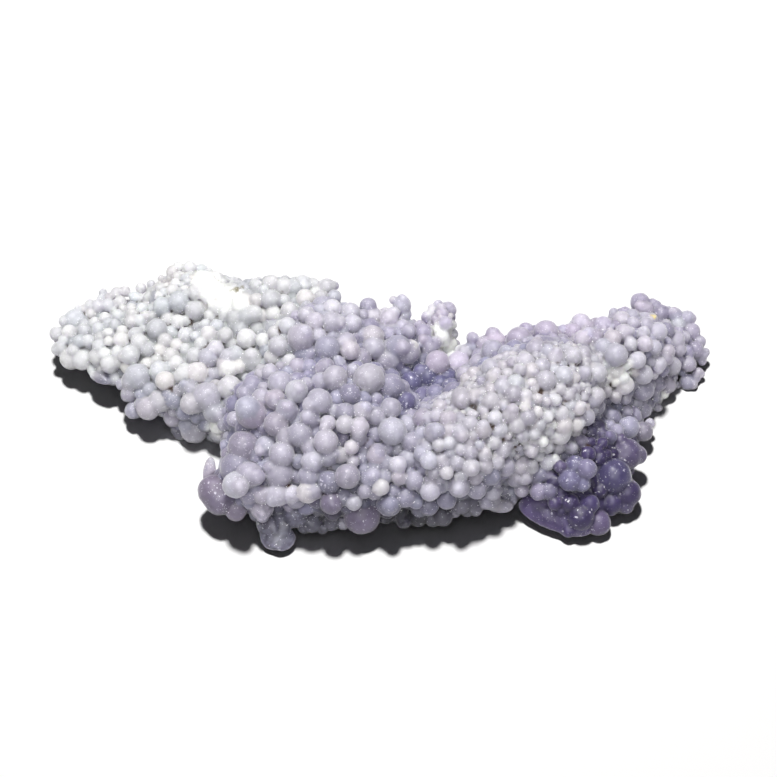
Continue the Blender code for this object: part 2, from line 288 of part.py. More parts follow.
def sight(across, down):
    """(eye, unit direction) of the line of sight through that place in the view."""
    height = math.radians(VIEW_HEIGHT)
    back = np.array([0.0, -math.cos(height), math.sin(height)])
    up = np.array([0.0, math.sin(height), math.cos(height)])
    right = np.array([1.0, 0.0, 0.0])
    eye = np.array(VIEW_AIM) + VIEW_DISTANCE * back
    way = -VIEW_DISTANCE * back + VIEW_UNIT * ((across - VIEW_MIDDLE) * right + (VIEW_MIDDLE - down) * up)
    return eye, way / np.linalg.norm(way)


def at_height(across, down, z):
    eye, way = sight(across, down)
    return eye + way * ((z - eye[2]) / way[2])


def turned(turn, lean=0.0):
    """Columns are the axes of a lobe after a lean towards the front (about X) and a turn about Z."""
    a, b = math.radians(turn), math.radians(lean)
    about_z = np.array([[math.cos(a), -math.sin(a), 0], [math.sin(a), math.cos(a), 0], [0, 0, 1]])
    about_x = np.array([[1, 0, 0], [0, math.cos(b), -math.sin(b)], [0, math.sin(b), math.cos(b)]])
    return about_z @ about_x


def lobes():
    """[(middle, half sizes, axes)] of the mass: the lobes of BODY and of the foot."""
    found = []
    for _, across, down, z, length, width, tall, turn in BODY:
        found.append((at_height(across, down, z), np.array([length, width, tall]), turned(turn)))
    for _, x, y, z, length, width, tall, turn in FOOT:
        found.append((np.array([x, y, z]), np.array([length, width, tall]), turned(turn)))
    return found


def nearest_hit(mass, eye, way):
    """Where the line of sight first meets the mass or, if it passes by, the place on the line nearest to it."""
    best, passing = None, (1e9, None)
    for middle, half, axes in mass:
        o = (axes.T @ (eye - middle)) / half
        d = (axes.T @ way) / half
        a, b, c = d @ d, o @ d, o @ o - 1.0
        root = b * b - a * c
        if root >= 0:
            t = (-b - math.sqrt(root)) / a
            best = t if best is None or t < best else best
        gap = (math.sqrt(max(o @ o - b * b / a, 0.0)) - 1.0) * half.min()
        if gap < passing[0]:
            passing = (gap, -b / a)
    return best if best is not None else passing[1]


def seen_grapes(mass):
    """[(middle, radius, group, lift)] of the grapes that show."""
    found, stems = [], []
    groups = (WING, WING_BACK, CENTRE, PILLAR, RIDGE_BACK, RIDGE, RIDGE_END, FRONT, FRONT_LEFT, LOBE)
    for group, members in enumerate(groups):
        for grape in members:
            across, down, radius = grape[:3]
            lift = grape[3] if len(grape) > 3 else N
            # the large ones sit deeper in the mass than the small ones
            stands = np.interp(lift, (U, N, T, TT), STANDS) if group in ON_STEMS else lift
            sunk = stands - 0.025 * max(radius - 7.0, 0.0)
            eye, way = sight(across, down)
            t = nearest_hit(mass, eye, way)
            # a radius in the view is smaller in mm the nearer its grape is to the eye
            scale = VIEW_UNIT * t / VIEW_DISTANCE
            radius = radius * scale * (FULLER_WING if group < 2 else FULLER)
            found.append((eye + way * (t - sunk * radius), radius, group, lift))
            if group in ON_STEMS and lift > N:
                stems.append((eye + way * (t - (sunk - 0.75) * radius), 0.74 * radius, 12, U))
    for across, down, radius, z in LOW_RIM:
        found.append((at_height(across, down, z), radius * VIEW_UNIT, 10, N))
    return found + stems


def in_outline(points, radii):
    """Whether each ball stays inside the outline of the piece in the view."""
    height = math.radians(VIEW_HEIGHT)
    back = np.array([0.0, -math.cos(height), math.sin(height)])
    up = np.array([0.0, math.sin(height), math.cos(height)])
    off = points - (np.array(VIEW_AIM) + VIEW_DISTANCE * back)
    scale = VIEW_DISTANCE / (-(off @ back)) / VIEW_UNIT
    seen = np.stack([VIEW_MIDDLE + off[:, 0] * scale, VIEW_MIDDLE - (off @ up) * scale], axis=1)
    corner = np.array(OUTLINE, float)
    following = np.roll(corner, -1, axis=0)
    side = following - corner
    along = np.clip(((seen[:, None] - corner) * side).sum(2) / (side**2).sum(1), 0, 1)
    gap = np.linalg.norm(seen[:, None] - (corner + along[..., None] * side), axis=2).min(axis=1)
    x, y = seen[:, :1], seen[:, 1:]
    crossed = (corner[:, 1] > y) != (following[:, 1] > y)
    crossed &= x < side[:, 0] * (y - corner[:, 1]) / np.where(side[:, 1] == 0, 1e-9, side[:, 1]) + corner[:, 0]
    inside = crossed.sum(axis=1) % 2 == 1
    return inside & (gap > radii * scale + 0.5)


def covering_grapes(mass, seen):
    """Seeded grapes on what the view doesn't show, and small ones deep between those that it does."""
    rng = np.random.default_rng(7)
    middles = np.zeros((9000, 3))
    radii = np.zeros(9000)
    known = len(seen)
    middles[:known] = [g[0] for g in seen]
    radii[:known] = [g[1] for g in seen]
    added = []
    golden = math.pi * (3.0 - math.sqrt(5.0))
    height = math.radians(VIEW_HEIGHT)
    towards_eye = np.array([0.0, -math.cos(height), math.sin(height)])
    for turn_number, (size, deep, close) in enumerate(COVER):
        for number, (middle, half, axes) in enumerate(mass):
            pairs = (half[0] * half[1]) ** 1.6, (half[0] * half[2]) ** 1.6, (half[1] * half[2]) ** 1.6
            area = 4.0 * math.pi * (sum(pairs) / 3) ** (1 / 1.6)
            count = int(1.4 * area / size**2)
            i = np.arange(count)
            z = 1.0 - 2.0 * (i + 0.5) / count
            flat = np.sqrt(1.0 - z * z)
            unit = np.stack([flat * np.cos(golden * i), flat * np.sin(golden * i), z], axis=1)
            points = middle + (unit * half) @ axes.T
            normals = (unit / half) @ axes.T
            normals /= np.linalg.norm(normals, axis=1)[:, None]
            open_air = points[:, 2] > (1.6 if number >= len(BODY) else 1.1)
            for other, (m, h, a) in enumerate(mass):
                if other != number:
                    open_air &= ((((points - m) @ a) / h) ** 2).sum(axis=1) > 0.94
            grown = size * (0.72 + 0.62 * rng.random(count) ** 1.6)
            grown *= np.where((points[:, 0] > 25) & (points[:, 2] > 10), 0.86, 1.0)
            facing = normals @ towards_eye
            shown = facing > 0.10
            on_crest = (points[:, 0] > CREST[0]) & (points[:, 0] < CREST[1]) & (points[:, 2] > CREST[2]) & (facing > 0.40)
            on_crest |= (points[:, 0] > SUGARY[0]) & (points[:, 0] < SUGARY[1]) & (points[:, 1] > SUGARY[2])
            if size < 1.2:
                open_air &= ~shown | on_crest
            lift = np.where(shown, COVER_SEEN[turn_number], deep)
            places = points + normals * (grown * lift)[:, None]
            open_air &= in_outline(places, grown)
            for k in rng.permutation(np.nonzero(open_air)[0]):
                apart = ((middles[:known] - places[k]) ** 2).sum(axis=1)
                if (apart < (close * (radii[:known] + grown[k])) ** 2).any():
                    continue
                middles[known], radii[known] = places[k], grown[k]
                known += 1
                added.append((places[k], grown[k], 11 if deep > -0.1 else 12, lift[k]))
    return added


def budding(grapes):
    """Smaller grapes that swell out of the side of the larger ones, so that few of them stay plain balls."""
    rng = np.random.default_rng(23)
    height = math.radians(VIEW_HEIGHT)
    outward = np.array([0.0, -math.cos(height), math.sin(height)])
    found = []
    for middle, radius, group, lift in grapes:
        number, way, share, deep = rng.random(), rng.normal(size=3), rng.random(), rng.random()
        smallest, share_of = (1.8, 0.5) if group < 2 else (0.95, 0.62) if group == 5 else (1.1, 0.42)
        if radius < smallest or (group == 9 and radius > 1.7) or group > 10 or number > share_of:
            continue
        way = way / np.linalg.norm(way) + 0.35 * outward
        way /= np.linalg.norm(way)
        small = radius * (0.50 + 0.32 * share)
        found.append((middle + way * (radius - small * (0.62 - 0.3 * deep)), small, 13, lift))
    return found


def scales(mass):
    """[(middle, half sizes, axes)] of the chips and of the flat scales of the broken faces."""
    found = []
    for _, across, down, z, length, width, thick, turn, lean in CHIPS:
        found.append((at_height(across, down, z), np.array([length, width, thick]), turned(turn, lean)))
    for across, down, length, width, turn, lean in BROKEN_FACE:
        eye, way = sight(across, down)
        middle = eye + way * (nearest_hit(mass, eye, way) - 1.1)
        found.append((middle, np.array([length, width, 0.75]), turned(turn, lean)))
    return found
def unit_ball(fineness):
    """Points and faces of an icosphere of radius 1."""
    bm = bmesh.new()
    bmesh.ops.create_icosphere(bm, subdivisions=fineness, radius=1.0)
    points = np.array([v.co for v in bm.verts])
    faces = np.array([[v.index for v in f.verts] for f in bm.faces])
    bm.free()
    return points, faces


def joined_balls(name, balls):
    """One mesh of all the balls: each (middle, half sizes, axes, fineness)."""
    shapes = {fineness: unit_ball(fineness) for fineness in {b[3] for b in balls}}
    points, faces, count = [], [], 0
    for middle, half, axes, fineness in balls:
        unit, sides = shapes[fineness]
        points.append(middle + (unit * half) @ axes.T)
        faces.append(sides + count)
        count += len(unit)
    points = np.concatenate(points).astype(np.float32)
    faces = np.concatenate(faces).astype(np.int32)
    mesh = bpy.data.meshes.new(name)
    mesh.vertices.add(len(points))
    mesh.vertices.foreach_set("co", points.ravel())
    mesh.loops.add(faces.size)
    mesh.loops.foreach_set("vertex_index", faces.ravel())
    mesh.polygons.add(len(faces))
    mesh.polygons.foreach_set("loop_start", np.arange(0, faces.size, 3, dtype=np.int32))
    mesh.update(calc_edges=True)
    return mesh


def fused(name, balls):
    """The balls fused into one skin: cells of VOXEL, then the inner skins dropped."""
    mesh = joined_balls(name + "_balls", balls)
    lump = bpy.data.objects.new(name + "_balls", mesh)
    bpy.context.scene.collection.objects.link(lump)
    remesh = lump.modifiers.new("fuse", "REMESH")
    remesh.mode = "VOXEL"
    remesh.voxel_size = VOXEL * MM
    remesh.adaptivity = 0.0
    bpy.context.view_layer.update()
    graph = bpy.context.evaluated_depsgraph_get()
    skin = bpy.data.meshes.new_from_object(lump.evaluated_get(graph))
    bpy.data.objects.remove(lump, do_unlink=True)
    keep_outer(skin)
    return skin


def keep_outer(mesh):
    """Only the longest skin stays: a gap sealed between grapes is filled."""
    bm = bmesh.new()
    bm.from_mesh(mesh)
    unseen = set(bm.verts)
    skins = []
    while unseen:
        start = unseen.pop()
        skin, edge = [start], [start]
        while edge:
            for link in edge.pop().link_edges:
                for vert in link.verts:
                    if vert in unseen:
                        unseen.discard(vert)
                        skin.append(vert)
                        edge.append(vert)
        skins.append(skin)
    skins.sort(key=lambda s: max(v.co.x for v in s) - min(v.co.x for v in s))
    doomed = [v for skin in skins[:-1] for v in skin]
    if doomed:
        bmesh.ops.delete(bm, geom=doomed, context="VERTS")
    bmesh.ops.triangulate(bm, faces=bm.faces)
    bm.to_mesh(mesh)
    bm.free()


def material():
    stone = bpy.data.materials.new(NAME)
    stone.use_nodes = True
    shader = stone.node_tree.nodes["Principled BSDF"]
    shader.inputs["Base Color"].default_value = (0.62, 0.58, 0.68, 1.0)
    shader.inputs["Roughness"].default_value = 0.38
    shader.inputs["Subsurface Weight"].default_value = 0.3
    return stone


MM = 0.001 * SIZE


def main():
    for old in list(bpy.data.objects):
        bpy.data.objects.remove(old, do_unlink=True)
    scene = bpy.context.scene
    scene.unit_settings.system = "METRIC"
    piece = bpy.data.collections.new("botryoidal_chalcedony_piece")
    cutters = bpy.data.collections.new("cutters")
    scene.collection.children.link(piece)
    scene.collection.children.link(cutters)
    cutters.hide_render = True

    mass = lobes()
    seen = seen_grapes(mass)
    cover = covering_grapes(mass, seen) + budding(seen)

    balls = [(middle * MM, (half + SKIN) * MM, axes, 4) for middle, half, axes in mass]
    balls += [(middle * MM, half * MM, axes, 3) for middle, half, axes in scales(mass)]
    for middle, radius, _, _ in seen + cover:
        if radius >= SMALLEST_GRAPE:
            balls.append((middle * MM, np.full(3, radius) * MM, np.eye(3), 2))
    skin = fused(NAME, balls)
    skin.name = NAME
    skin.transform(Matrix.Translation((CENTRING[0] * MM, CENTRING[1] * MM, 0.0)))

    cluster = bpy.data.objects.new(NAME, skin)
    piece.objects.link(cluster)
    cluster.data.materials.clear()
    cluster.data.materials.append(material())
    skin.polygons.foreach_set("use_smooth", np.ones(len(skin.polygons), bool))

    thin = cluster.modifiers.new("thin", "DECIMATE")
    thin.ratio = TRIANGLES / len(skin.polygons)

    bm = bmesh.new()
    below_floor = Matrix.Translation((0, 0, (FLOOR_Z - 20.0) * MM)) @ Matrix.Diagonal((200 * MM, 120 * MM, 40 * MM, 1.0))
    bmesh.ops.create_cube(bm, size=1.0, matrix=below_floor)
    under = bpy.data.meshes.new("under_the_cut")
    bm.to_mesh(under)
    bm.free()
    below = bpy.data.objects.new("under_the_cut", under)
    cutters.objects.link(below)
    below.hide_render = True
    below.display_type = "WIRE"
    cut = cluster.modifiers.new("flat_cut", "BOOLEAN")
    cut.operation = "DIFFERENCE"
    cut.solver = "EXACT"
    cut.object = below


main()
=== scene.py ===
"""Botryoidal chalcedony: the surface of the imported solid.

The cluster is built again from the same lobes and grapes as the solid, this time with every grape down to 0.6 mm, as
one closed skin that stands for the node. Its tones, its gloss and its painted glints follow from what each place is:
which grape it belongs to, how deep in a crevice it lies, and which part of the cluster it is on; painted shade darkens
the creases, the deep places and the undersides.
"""

import math

import bpy
import numpy as np
from mathutils import Matrix, Vector
from mathutils.kdtree import KDTree


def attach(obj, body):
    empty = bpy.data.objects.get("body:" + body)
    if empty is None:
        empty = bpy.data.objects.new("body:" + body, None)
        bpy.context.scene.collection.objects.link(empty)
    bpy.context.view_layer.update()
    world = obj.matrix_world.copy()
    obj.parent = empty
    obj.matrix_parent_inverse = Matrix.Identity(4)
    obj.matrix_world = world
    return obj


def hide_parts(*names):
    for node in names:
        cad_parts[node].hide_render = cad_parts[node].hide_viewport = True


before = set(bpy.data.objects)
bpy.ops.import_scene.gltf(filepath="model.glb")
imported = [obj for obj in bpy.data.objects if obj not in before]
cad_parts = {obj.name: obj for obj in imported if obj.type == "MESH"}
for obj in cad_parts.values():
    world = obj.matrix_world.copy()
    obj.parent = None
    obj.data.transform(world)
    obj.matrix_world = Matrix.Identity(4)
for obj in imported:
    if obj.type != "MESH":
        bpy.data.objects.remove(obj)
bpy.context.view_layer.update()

NODE = "botryoidal_chalcedony"
CENTRING = (2.42, -0.19) # the solid's own shift, which puts the middle of its box over the origin, mm
CELL = 0.25              # the cells in which the grapes are fused, mm
TRIANGLES = 196000       # of the finished skin

# ---------------------------------------------------------------- the view the piece is set out in
# The grapes are set out as they show from in front and above: across and down, in units of 0.2 mm
# on the plane through the middle of the piece, 450 mm from the eye and 55 degrees above the floor.
VIEW_UNIT = 0.2          # mm on the plane through the middle of the piece
VIEW_DISTANCE = 450.0    # mm
VIEW_HEIGHT = 55.0       # degrees above the floor
VIEW_MIDDLE = 388.5      # the middle of the view, in units across and down
VIEW_AIM = (0.0, 0.0, 12.0)

# ---------------------------------------------------------------- the mass that the grapes grow on
# name, across, down, height of the middle, half length, half width, half height, turn about Z (degrees)
BODY = [
    ("wing_tip", 95, 340, 5.9, 7.2, 5.0, 3.5, 0),
    ("wing_mid", 153, 338, 6.8, 13.2, 9.2, 4.8, 8),
    ("wing_back", 199, 306, 8.6, 10.5, 6.4, 6.0, 0),
    ("wing_back_right", 270, 314, 9.9, 11.5, 6.6, 7.0, 0),
    ("wing_middle", 236, 347, 8.2, 11.0, 8.5, 5.8, 0),
    ("wing_front", 207, 387, 5.8, 12.2, 9.0, 5.2, -18),
    ("wing_corner", 151, 391, 5.2, 5.4, 4.0, 3.4, -25),
    ("centre_back", 322, 352, 10.5, 13.2, 10.4, 9.6, 0),
    ("centre", 330, 425, 9.5, 20.5, 14.6, 11.2, -8),
    ("front_left", 257, 470, 7.6, 7.6, 8.4, 6.8, 0),
    ("front", 350, 472, 7.5, 20.0, 9.0, 8.2, 0),
    ("front_right", 440, 468, 8.2, 13.5, 7.6, 7.5, 8),
    ("saddle", 412, 395, 6.0, 13.5, 11.5, 7.2, 0),
    ("pillar", 442, 331, 10.5, 2.2, 4.0, 5.8, 0),
    ("back_notch", 390, 350, 9.8, 9.6, 6.8, 7.0, 0),
    ("ridge_low", 465, 442, 10.5, 14.5, 10.5, 10.2, 25),
    ("ridge_mid", 525, 405, 12.5, 17.5, 11.5, 11.7, 32),
    ("ridge_back", 548, 359, 9.4, 16.0, 5.2, 7.2, 9),
    ("ridge_high", 597, 374, 6.8, 16.5, 8.9, 11.4, 28),
    ("ridge_end", 648, 348, 2.8, 8.6, 7.8, 5.6, 0),
    ("ridge_chips", 678, 351, 2.0, 3.6, 5.0, 3.7, 0),
    ("lobe", 606, 482, 2.2, 5.2, 6.8, 3.7, 25),
    ("lobe_front", 577, 499, 2.8, 7.8, 5.6, 4.0, 15),
    ("lobe_root", 560, 455, 5.5, 14.0, 9.0, 6.2, 10),
    ("lobe_neck", 610, 426, 2.7, 5.6, 6.2, 5.1, 20),
]

# ---------------------------------------------------------------- the grapes that show
# across, down, radius, and how far the middle stands off the mass, in radii (N where it is left out)
U, N, T, TT = 0.1, 0.55, 0.9, 1.2
WING = [
    (56.7, 333.8, 6.5), (69.2, 331.7, 6.5), (75, 320, 10, U), (62, 347.5, 7), (74, 350, 6), (88.3, 341, 6),
    (94.5, 321, 4), (98.5, 328.5, 5.5), (105, 317.5, 5), (114.7, 325, 5.5), (108.3, 333, 5), (108.8, 341, 4.4, TT),
    (121, 339.5, 7.2), (99.5, 346, 6.5), (130, 354.7, 9, T), (131.5, 308.5, 5), (141.8, 308.5, 5.2), (132.5, 315, 6),
    (131.7, 321.5, 6.5), (139, 321, 6), (145, 316.5, 5.5), (152, 316, 4.5), (149.6, 298.4, 6.4), (162, 306.5, 8.5),
    (156.6, 328.6, 9.4), (136, 334.5, 7), (139.3, 342, 7.8, T), (147, 348.5, 7.4), (120.5, 302.5, 6), (134.5, 297, 5),
    (141, 298.5, 4.5), (116.5, 293, 5.5), (125, 291.5, 5), (108, 305, 6), (98, 306, 6), (90, 305, 5), (85, 308, 4),
    (117.5, 314.5, 5), (122.5, 308, 3.5), (151, 284, 4), (161.5, 288, 5), (165, 292.5, 4.5), (172.5, 290, 5.5),
    (166.5, 281, 4.5), (172.5, 272, 6), (161.5, 279, 3.5), (103, 293, 4), (78.5, 310, 4), (141, 288, 5), (151, 291, 4.5),
    (71, 358.5, 10), (83, 359.5, 9.8), (57.5, 349, 6), (96.7, 356.7, 7.5), (93.5, 370, 5.5, U), (104, 371.5, 7),
    (110, 364, 8.5), (113.3, 378, 7), (121.7, 384.5, 5.5), (127, 367.5, 5.8, TT), (137.5, 376.5, 11.6, T),
    (147.5, 363.3, 6), (156.7, 360.8, 6), (160, 371.5, 9.5), (165, 380.8, 8.8, TT), (170.8, 356.7, 8),
    (129, 393.3, 7.5), (148.3, 389, 6.5, U), (141, 394, 6, U), (133.3, 410.5, 8), (148.3, 408.3, 10.8, T),
    (160, 401, 10.3), (174, 399, 9, U), (173, 417.5, 8.8), (118, 352, 6), (105, 354, 6), (84, 330, 6), (64, 321, 5),
    (91, 313, 5), (113, 310, 4), (143, 329, 4), (168, 320, 7, U), (165, 341, 7), (171, 332, 6, U), (160, 350, 6),
    (110, 297, 4), (101, 299, 4), (146, 305, 4), (152, 308, 4), (122, 331, 5), (64, 340, 5), (80, 341, 6),
    (119, 362, 6), (101, 364, 6, U),
]
WING_BACK = [
    (178.3, 266.5, 4.5), (189.6, 267.5, 6), (182.5, 279, 3.2), (181.7, 285, 3.6), (179.2, 301.7, 9.5, U), (195, 310, 9, U),
    (210, 315.8, 5.6, T), (178.3, 321.7, 6.6, T), (185.5, 321, 5, T), (185.8, 335, 7.2), (195, 335.8, 4.6),
    (185, 349, 5.2, T), (201.2, 343.3, 6.2), (208.3, 333.3, 7), (216.7, 325.8, 6, U), (225.4, 335, 7.2, T),
    (215.4, 348.5, 7.6), (231, 343, 5, U), (246.7, 338.3, 9), (254, 313.3, 7.6), (256.7, 300, 6.6), (270.8, 299.5, 9),
    (273.3, 313.3, 7), (263, 315, 6, U), (255.8, 284.5, 5.6), (271, 283.5, 8), (284, 286, 7.5), (293, 287, 7),
    (284, 300.5, 6), (289, 310, 7.6), (287.5, 325.8, 8, T), (281, 325, 5), (274.6, 332.5, 6.5), (262.9, 340, 6.6, T),
    (278.3, 345.5, 9.2), (285.8, 336, 5, U), (236, 318, 8.6), (246, 316, 8), (226, 315, 7), (193, 324, 4, U),
    (205, 324, 5, U), (176, 345, 6), (176.7, 363.3, 7), (185, 373, 9), (197, 373, 10), (195, 355.8, 8), (208.5, 357.3, 9),
    (228.3, 357.5, 8.5), (235, 354, 7.6), (228.3, 368.3, 9, T), (239, 366.5, 6.6, TT), (245, 376, 5.6), (219, 372.5, 5.6),
    (230, 387.5, 11, T), (252, 360, 10.9), (260, 374, 5.4, U), (269.6, 371.7, 7.6, TT), (280, 383, 11.2),
    (271.7, 357, 7.2), (206.7, 396.7, 13), (190, 389, 9), (190.4, 404, 9.6, T), (214, 411.7, 10), (225, 405.8, 6, U),
    (241, 404, 5), (252, 385, 9, U), (245, 393, 8, U), (263.3, 387.5, 5.2), (261.7, 398, 9), (275, 399, 9),
    (287, 410, 10), (251, 413.5, 13.6, T), (276, 424, 11.2), (234, 419, 7), (243, 446.5, 14.2), (266, 446, 9.4),
    (287, 438, 10), (194, 430, 12.3), (182.5, 435.5, 10.2), (221.7, 437, 12.2), (217.5, 427, 7, T), (211, 340, 4, U),
    (212, 374, 6, U), (224, 392, 5, U), (179, 391, 6), (169, 368, 6, U), (290, 361, 7), (288, 372, 6, U), (240, 329, 7, U),
    (257, 327, 6, U), (268, 324, 6, U), (216, 386, 6), (264, 290, 5),
]
CENTRE = [
    (303, 284, 8.6), (312.9, 284.3, 6.2), (326.7, 288, 9.2), (334.5, 286, 4.6), (334.3, 297, 7), (316.3, 295, 8.1, T),
    (305, 298, 8.6, T), (306.7, 315, 8.3, T), (315, 321.5, 9.2), (297, 326, 4.6), (332.5, 308, 8.7), (331.7, 322, 10.2),
    (350.4, 312, 9.2), (352.5, 323.3, 8.7), (368.3, 306, 8.1), (362.5, 314.5, 5.2), (372.5, 318.3, 10.6), (389, 318, 8.9),
    (402, 305, 8.8), (405, 314, 6.2), (409, 331, 7), (420, 326, 5.8), (423.3, 335.8, 4.6), (372.5, 336.7, 11.1),
    (374, 347.5, 10.3, T), (350, 350, 9.4, T), (346.7, 341.7, 9.2), (327.5, 348, 12), (301, 337, 13), (318, 336, 8, U),
    (389, 334, 7.2, U), (398.3, 347, 11.6), (411.7, 346.5, 6.4, TT), (388.3, 346, 6.4), (390, 359, 10.2), (408, 352, 11.6),
    (385, 362, 12), (397, 364, 8), (361.7, 358, 9.6), (369, 378.5, 14.6, T), (355, 374, 8.6), (335, 377.5, 11.8, T),
    (325.8, 366, 8.3), (320.8, 381, 8.6), (340, 363, 5.8), (296.7, 391, 10.9, T), (305.8, 384, 6.8), (319, 401.5, 12.4, T),
    (310.8, 418, 10), (350, 394, 10.2), (336.7, 398.3, 8, U), (363, 399, 8, U), (345, 413, 10), (362, 412, 10),
    (376, 416, 9.2), (390.8, 408, 10.1, T), (392.5, 431, 13.4, T), (376.7, 434, 7.4, U), (345, 424.5, 8.8, TT),
    (328, 423, 7.6, T), (359, 427.5, 9.9, T), (358.5, 438, 8), (326, 441.5, 11.8, T), (300, 434, 12), (309, 446, 8.6),
    (351.5, 447.5, 7.2, T), (353, 461.5, 6.1, T), (377, 452, 8.6), (391, 386, 12), (406, 372, 5.6, U), (420, 371, 6.8),
    (411, 382, 10, U), (425, 398, 11.2), (406, 401, 9.4, U), (422.5, 418, 9.2), (407.5, 425, 10), (411.7, 442, 9.6),
    (422, 434, 7), (309, 367, 8, U), (303, 353, 9, U), (297, 366, 8), (340, 390, 7, U), (334, 411, 7), (376, 398, 6, U),
    (310, 353, 8, U), (343, 438, 6, U), (367, 444, 7, U), (386, 449, 7), (397, 450, 7), (290, 398, 6, U), (378, 373, 7),
    (363, 335, 7, U), (342, 330, 7, U), (393, 300, 4), (320, 310, 6, U), (296, 302, 5, U), (296, 316, 6, U),
    (428, 377, 9, U), (424, 408, 6, U), (400, 392, 6, U), (434, 369, 7, U),
]
PILLAR = [
    (424, 332, 8), (427.5, 317, 6.4), (426, 341, 7), (432.8, 309, 5), (447.6, 310.4, 8.4), (438.3, 304.5, 4.6), (435.8, 319, 5.2), (445.8, 323.3, 6.8), (452.4, 325, 4.6),
    (432.5, 328, 7), (442, 336, 7.2), (450, 344, 6.8), (456, 344.5, 4.4), (430, 347, 9), (437.5, 362.5, 11.6, TT),
    (458.3, 363.3, 11.2, TT), (446, 352, 7, U), (447, 377, 9, U), (440, 384, 9, U), (452, 387, 7, U), (428, 359, 8, U),
    (453, 334, 5, U), (462, 372, 8, U),
]
RIDGE_BACK = [
    (472.5, 338.2, 6.1), (472.5, 345.5, 6.3), (465, 352, 7.8), (485, 343.5, 8.2, T), (495, 341, 9.8, T), (519, 339.5, 12.2, T),
    (526, 331, 8.2), (546, 332.3, 11.7, T), (536, 349, 9.2), (506, 353, 7.8), (548.3, 352.5, 8.2), (524, 357, 6, T),
    (563, 331, 6.2), (580.8, 323, 9.4, T), (572.5, 332, 8.2), (562.5, 340, 5.9, T), (572.5, 342.5, 5.2), (567.5, 350.5, 7, T),
    (582.5, 338.5, 8.4, T), (594, 336.5, 8.3), (586, 329.5, 3.2, T), (592, 328, 3.2, T), (593, 345.5, 5.4, U), (583, 354, 8),
    (573, 356, 8.8, T), (595.8, 325, 7.2), (603.5, 325, 8.5), (615, 318, 7.2), (615, 326, 6.2, U), (621.7, 319.5, 8.2, T),
    (625, 312.5, 5.8), (631.5, 314, 4.8), (640, 302.5, 9.2), (644, 309.5, 8.5, T), (655, 306.5, 6.3), (660.8, 313.5, 8.6),
    (675, 315, 7.1), (633.3, 323.5, 6.3), (645.8, 325, 7.6), (624, 332.5, 8.3, T), (612.5, 338.3, 8.2, T),
    (603.3, 347, 8.6), (616, 355, 11.2, T), (630.8, 344, 6.4, TT), (643.3, 333.3, 6.7, T), (645, 344, 7.8, TT),
    (657.5, 332, 9.5), (654, 347, 7.2), (480, 356, 8), (492, 353, 6), (515, 352, 5), (604, 336, 5, U), (638, 317, 6, U),
    (556, 342, 5, U), (652, 317, 4, U), (635, 333, 5, U),
]
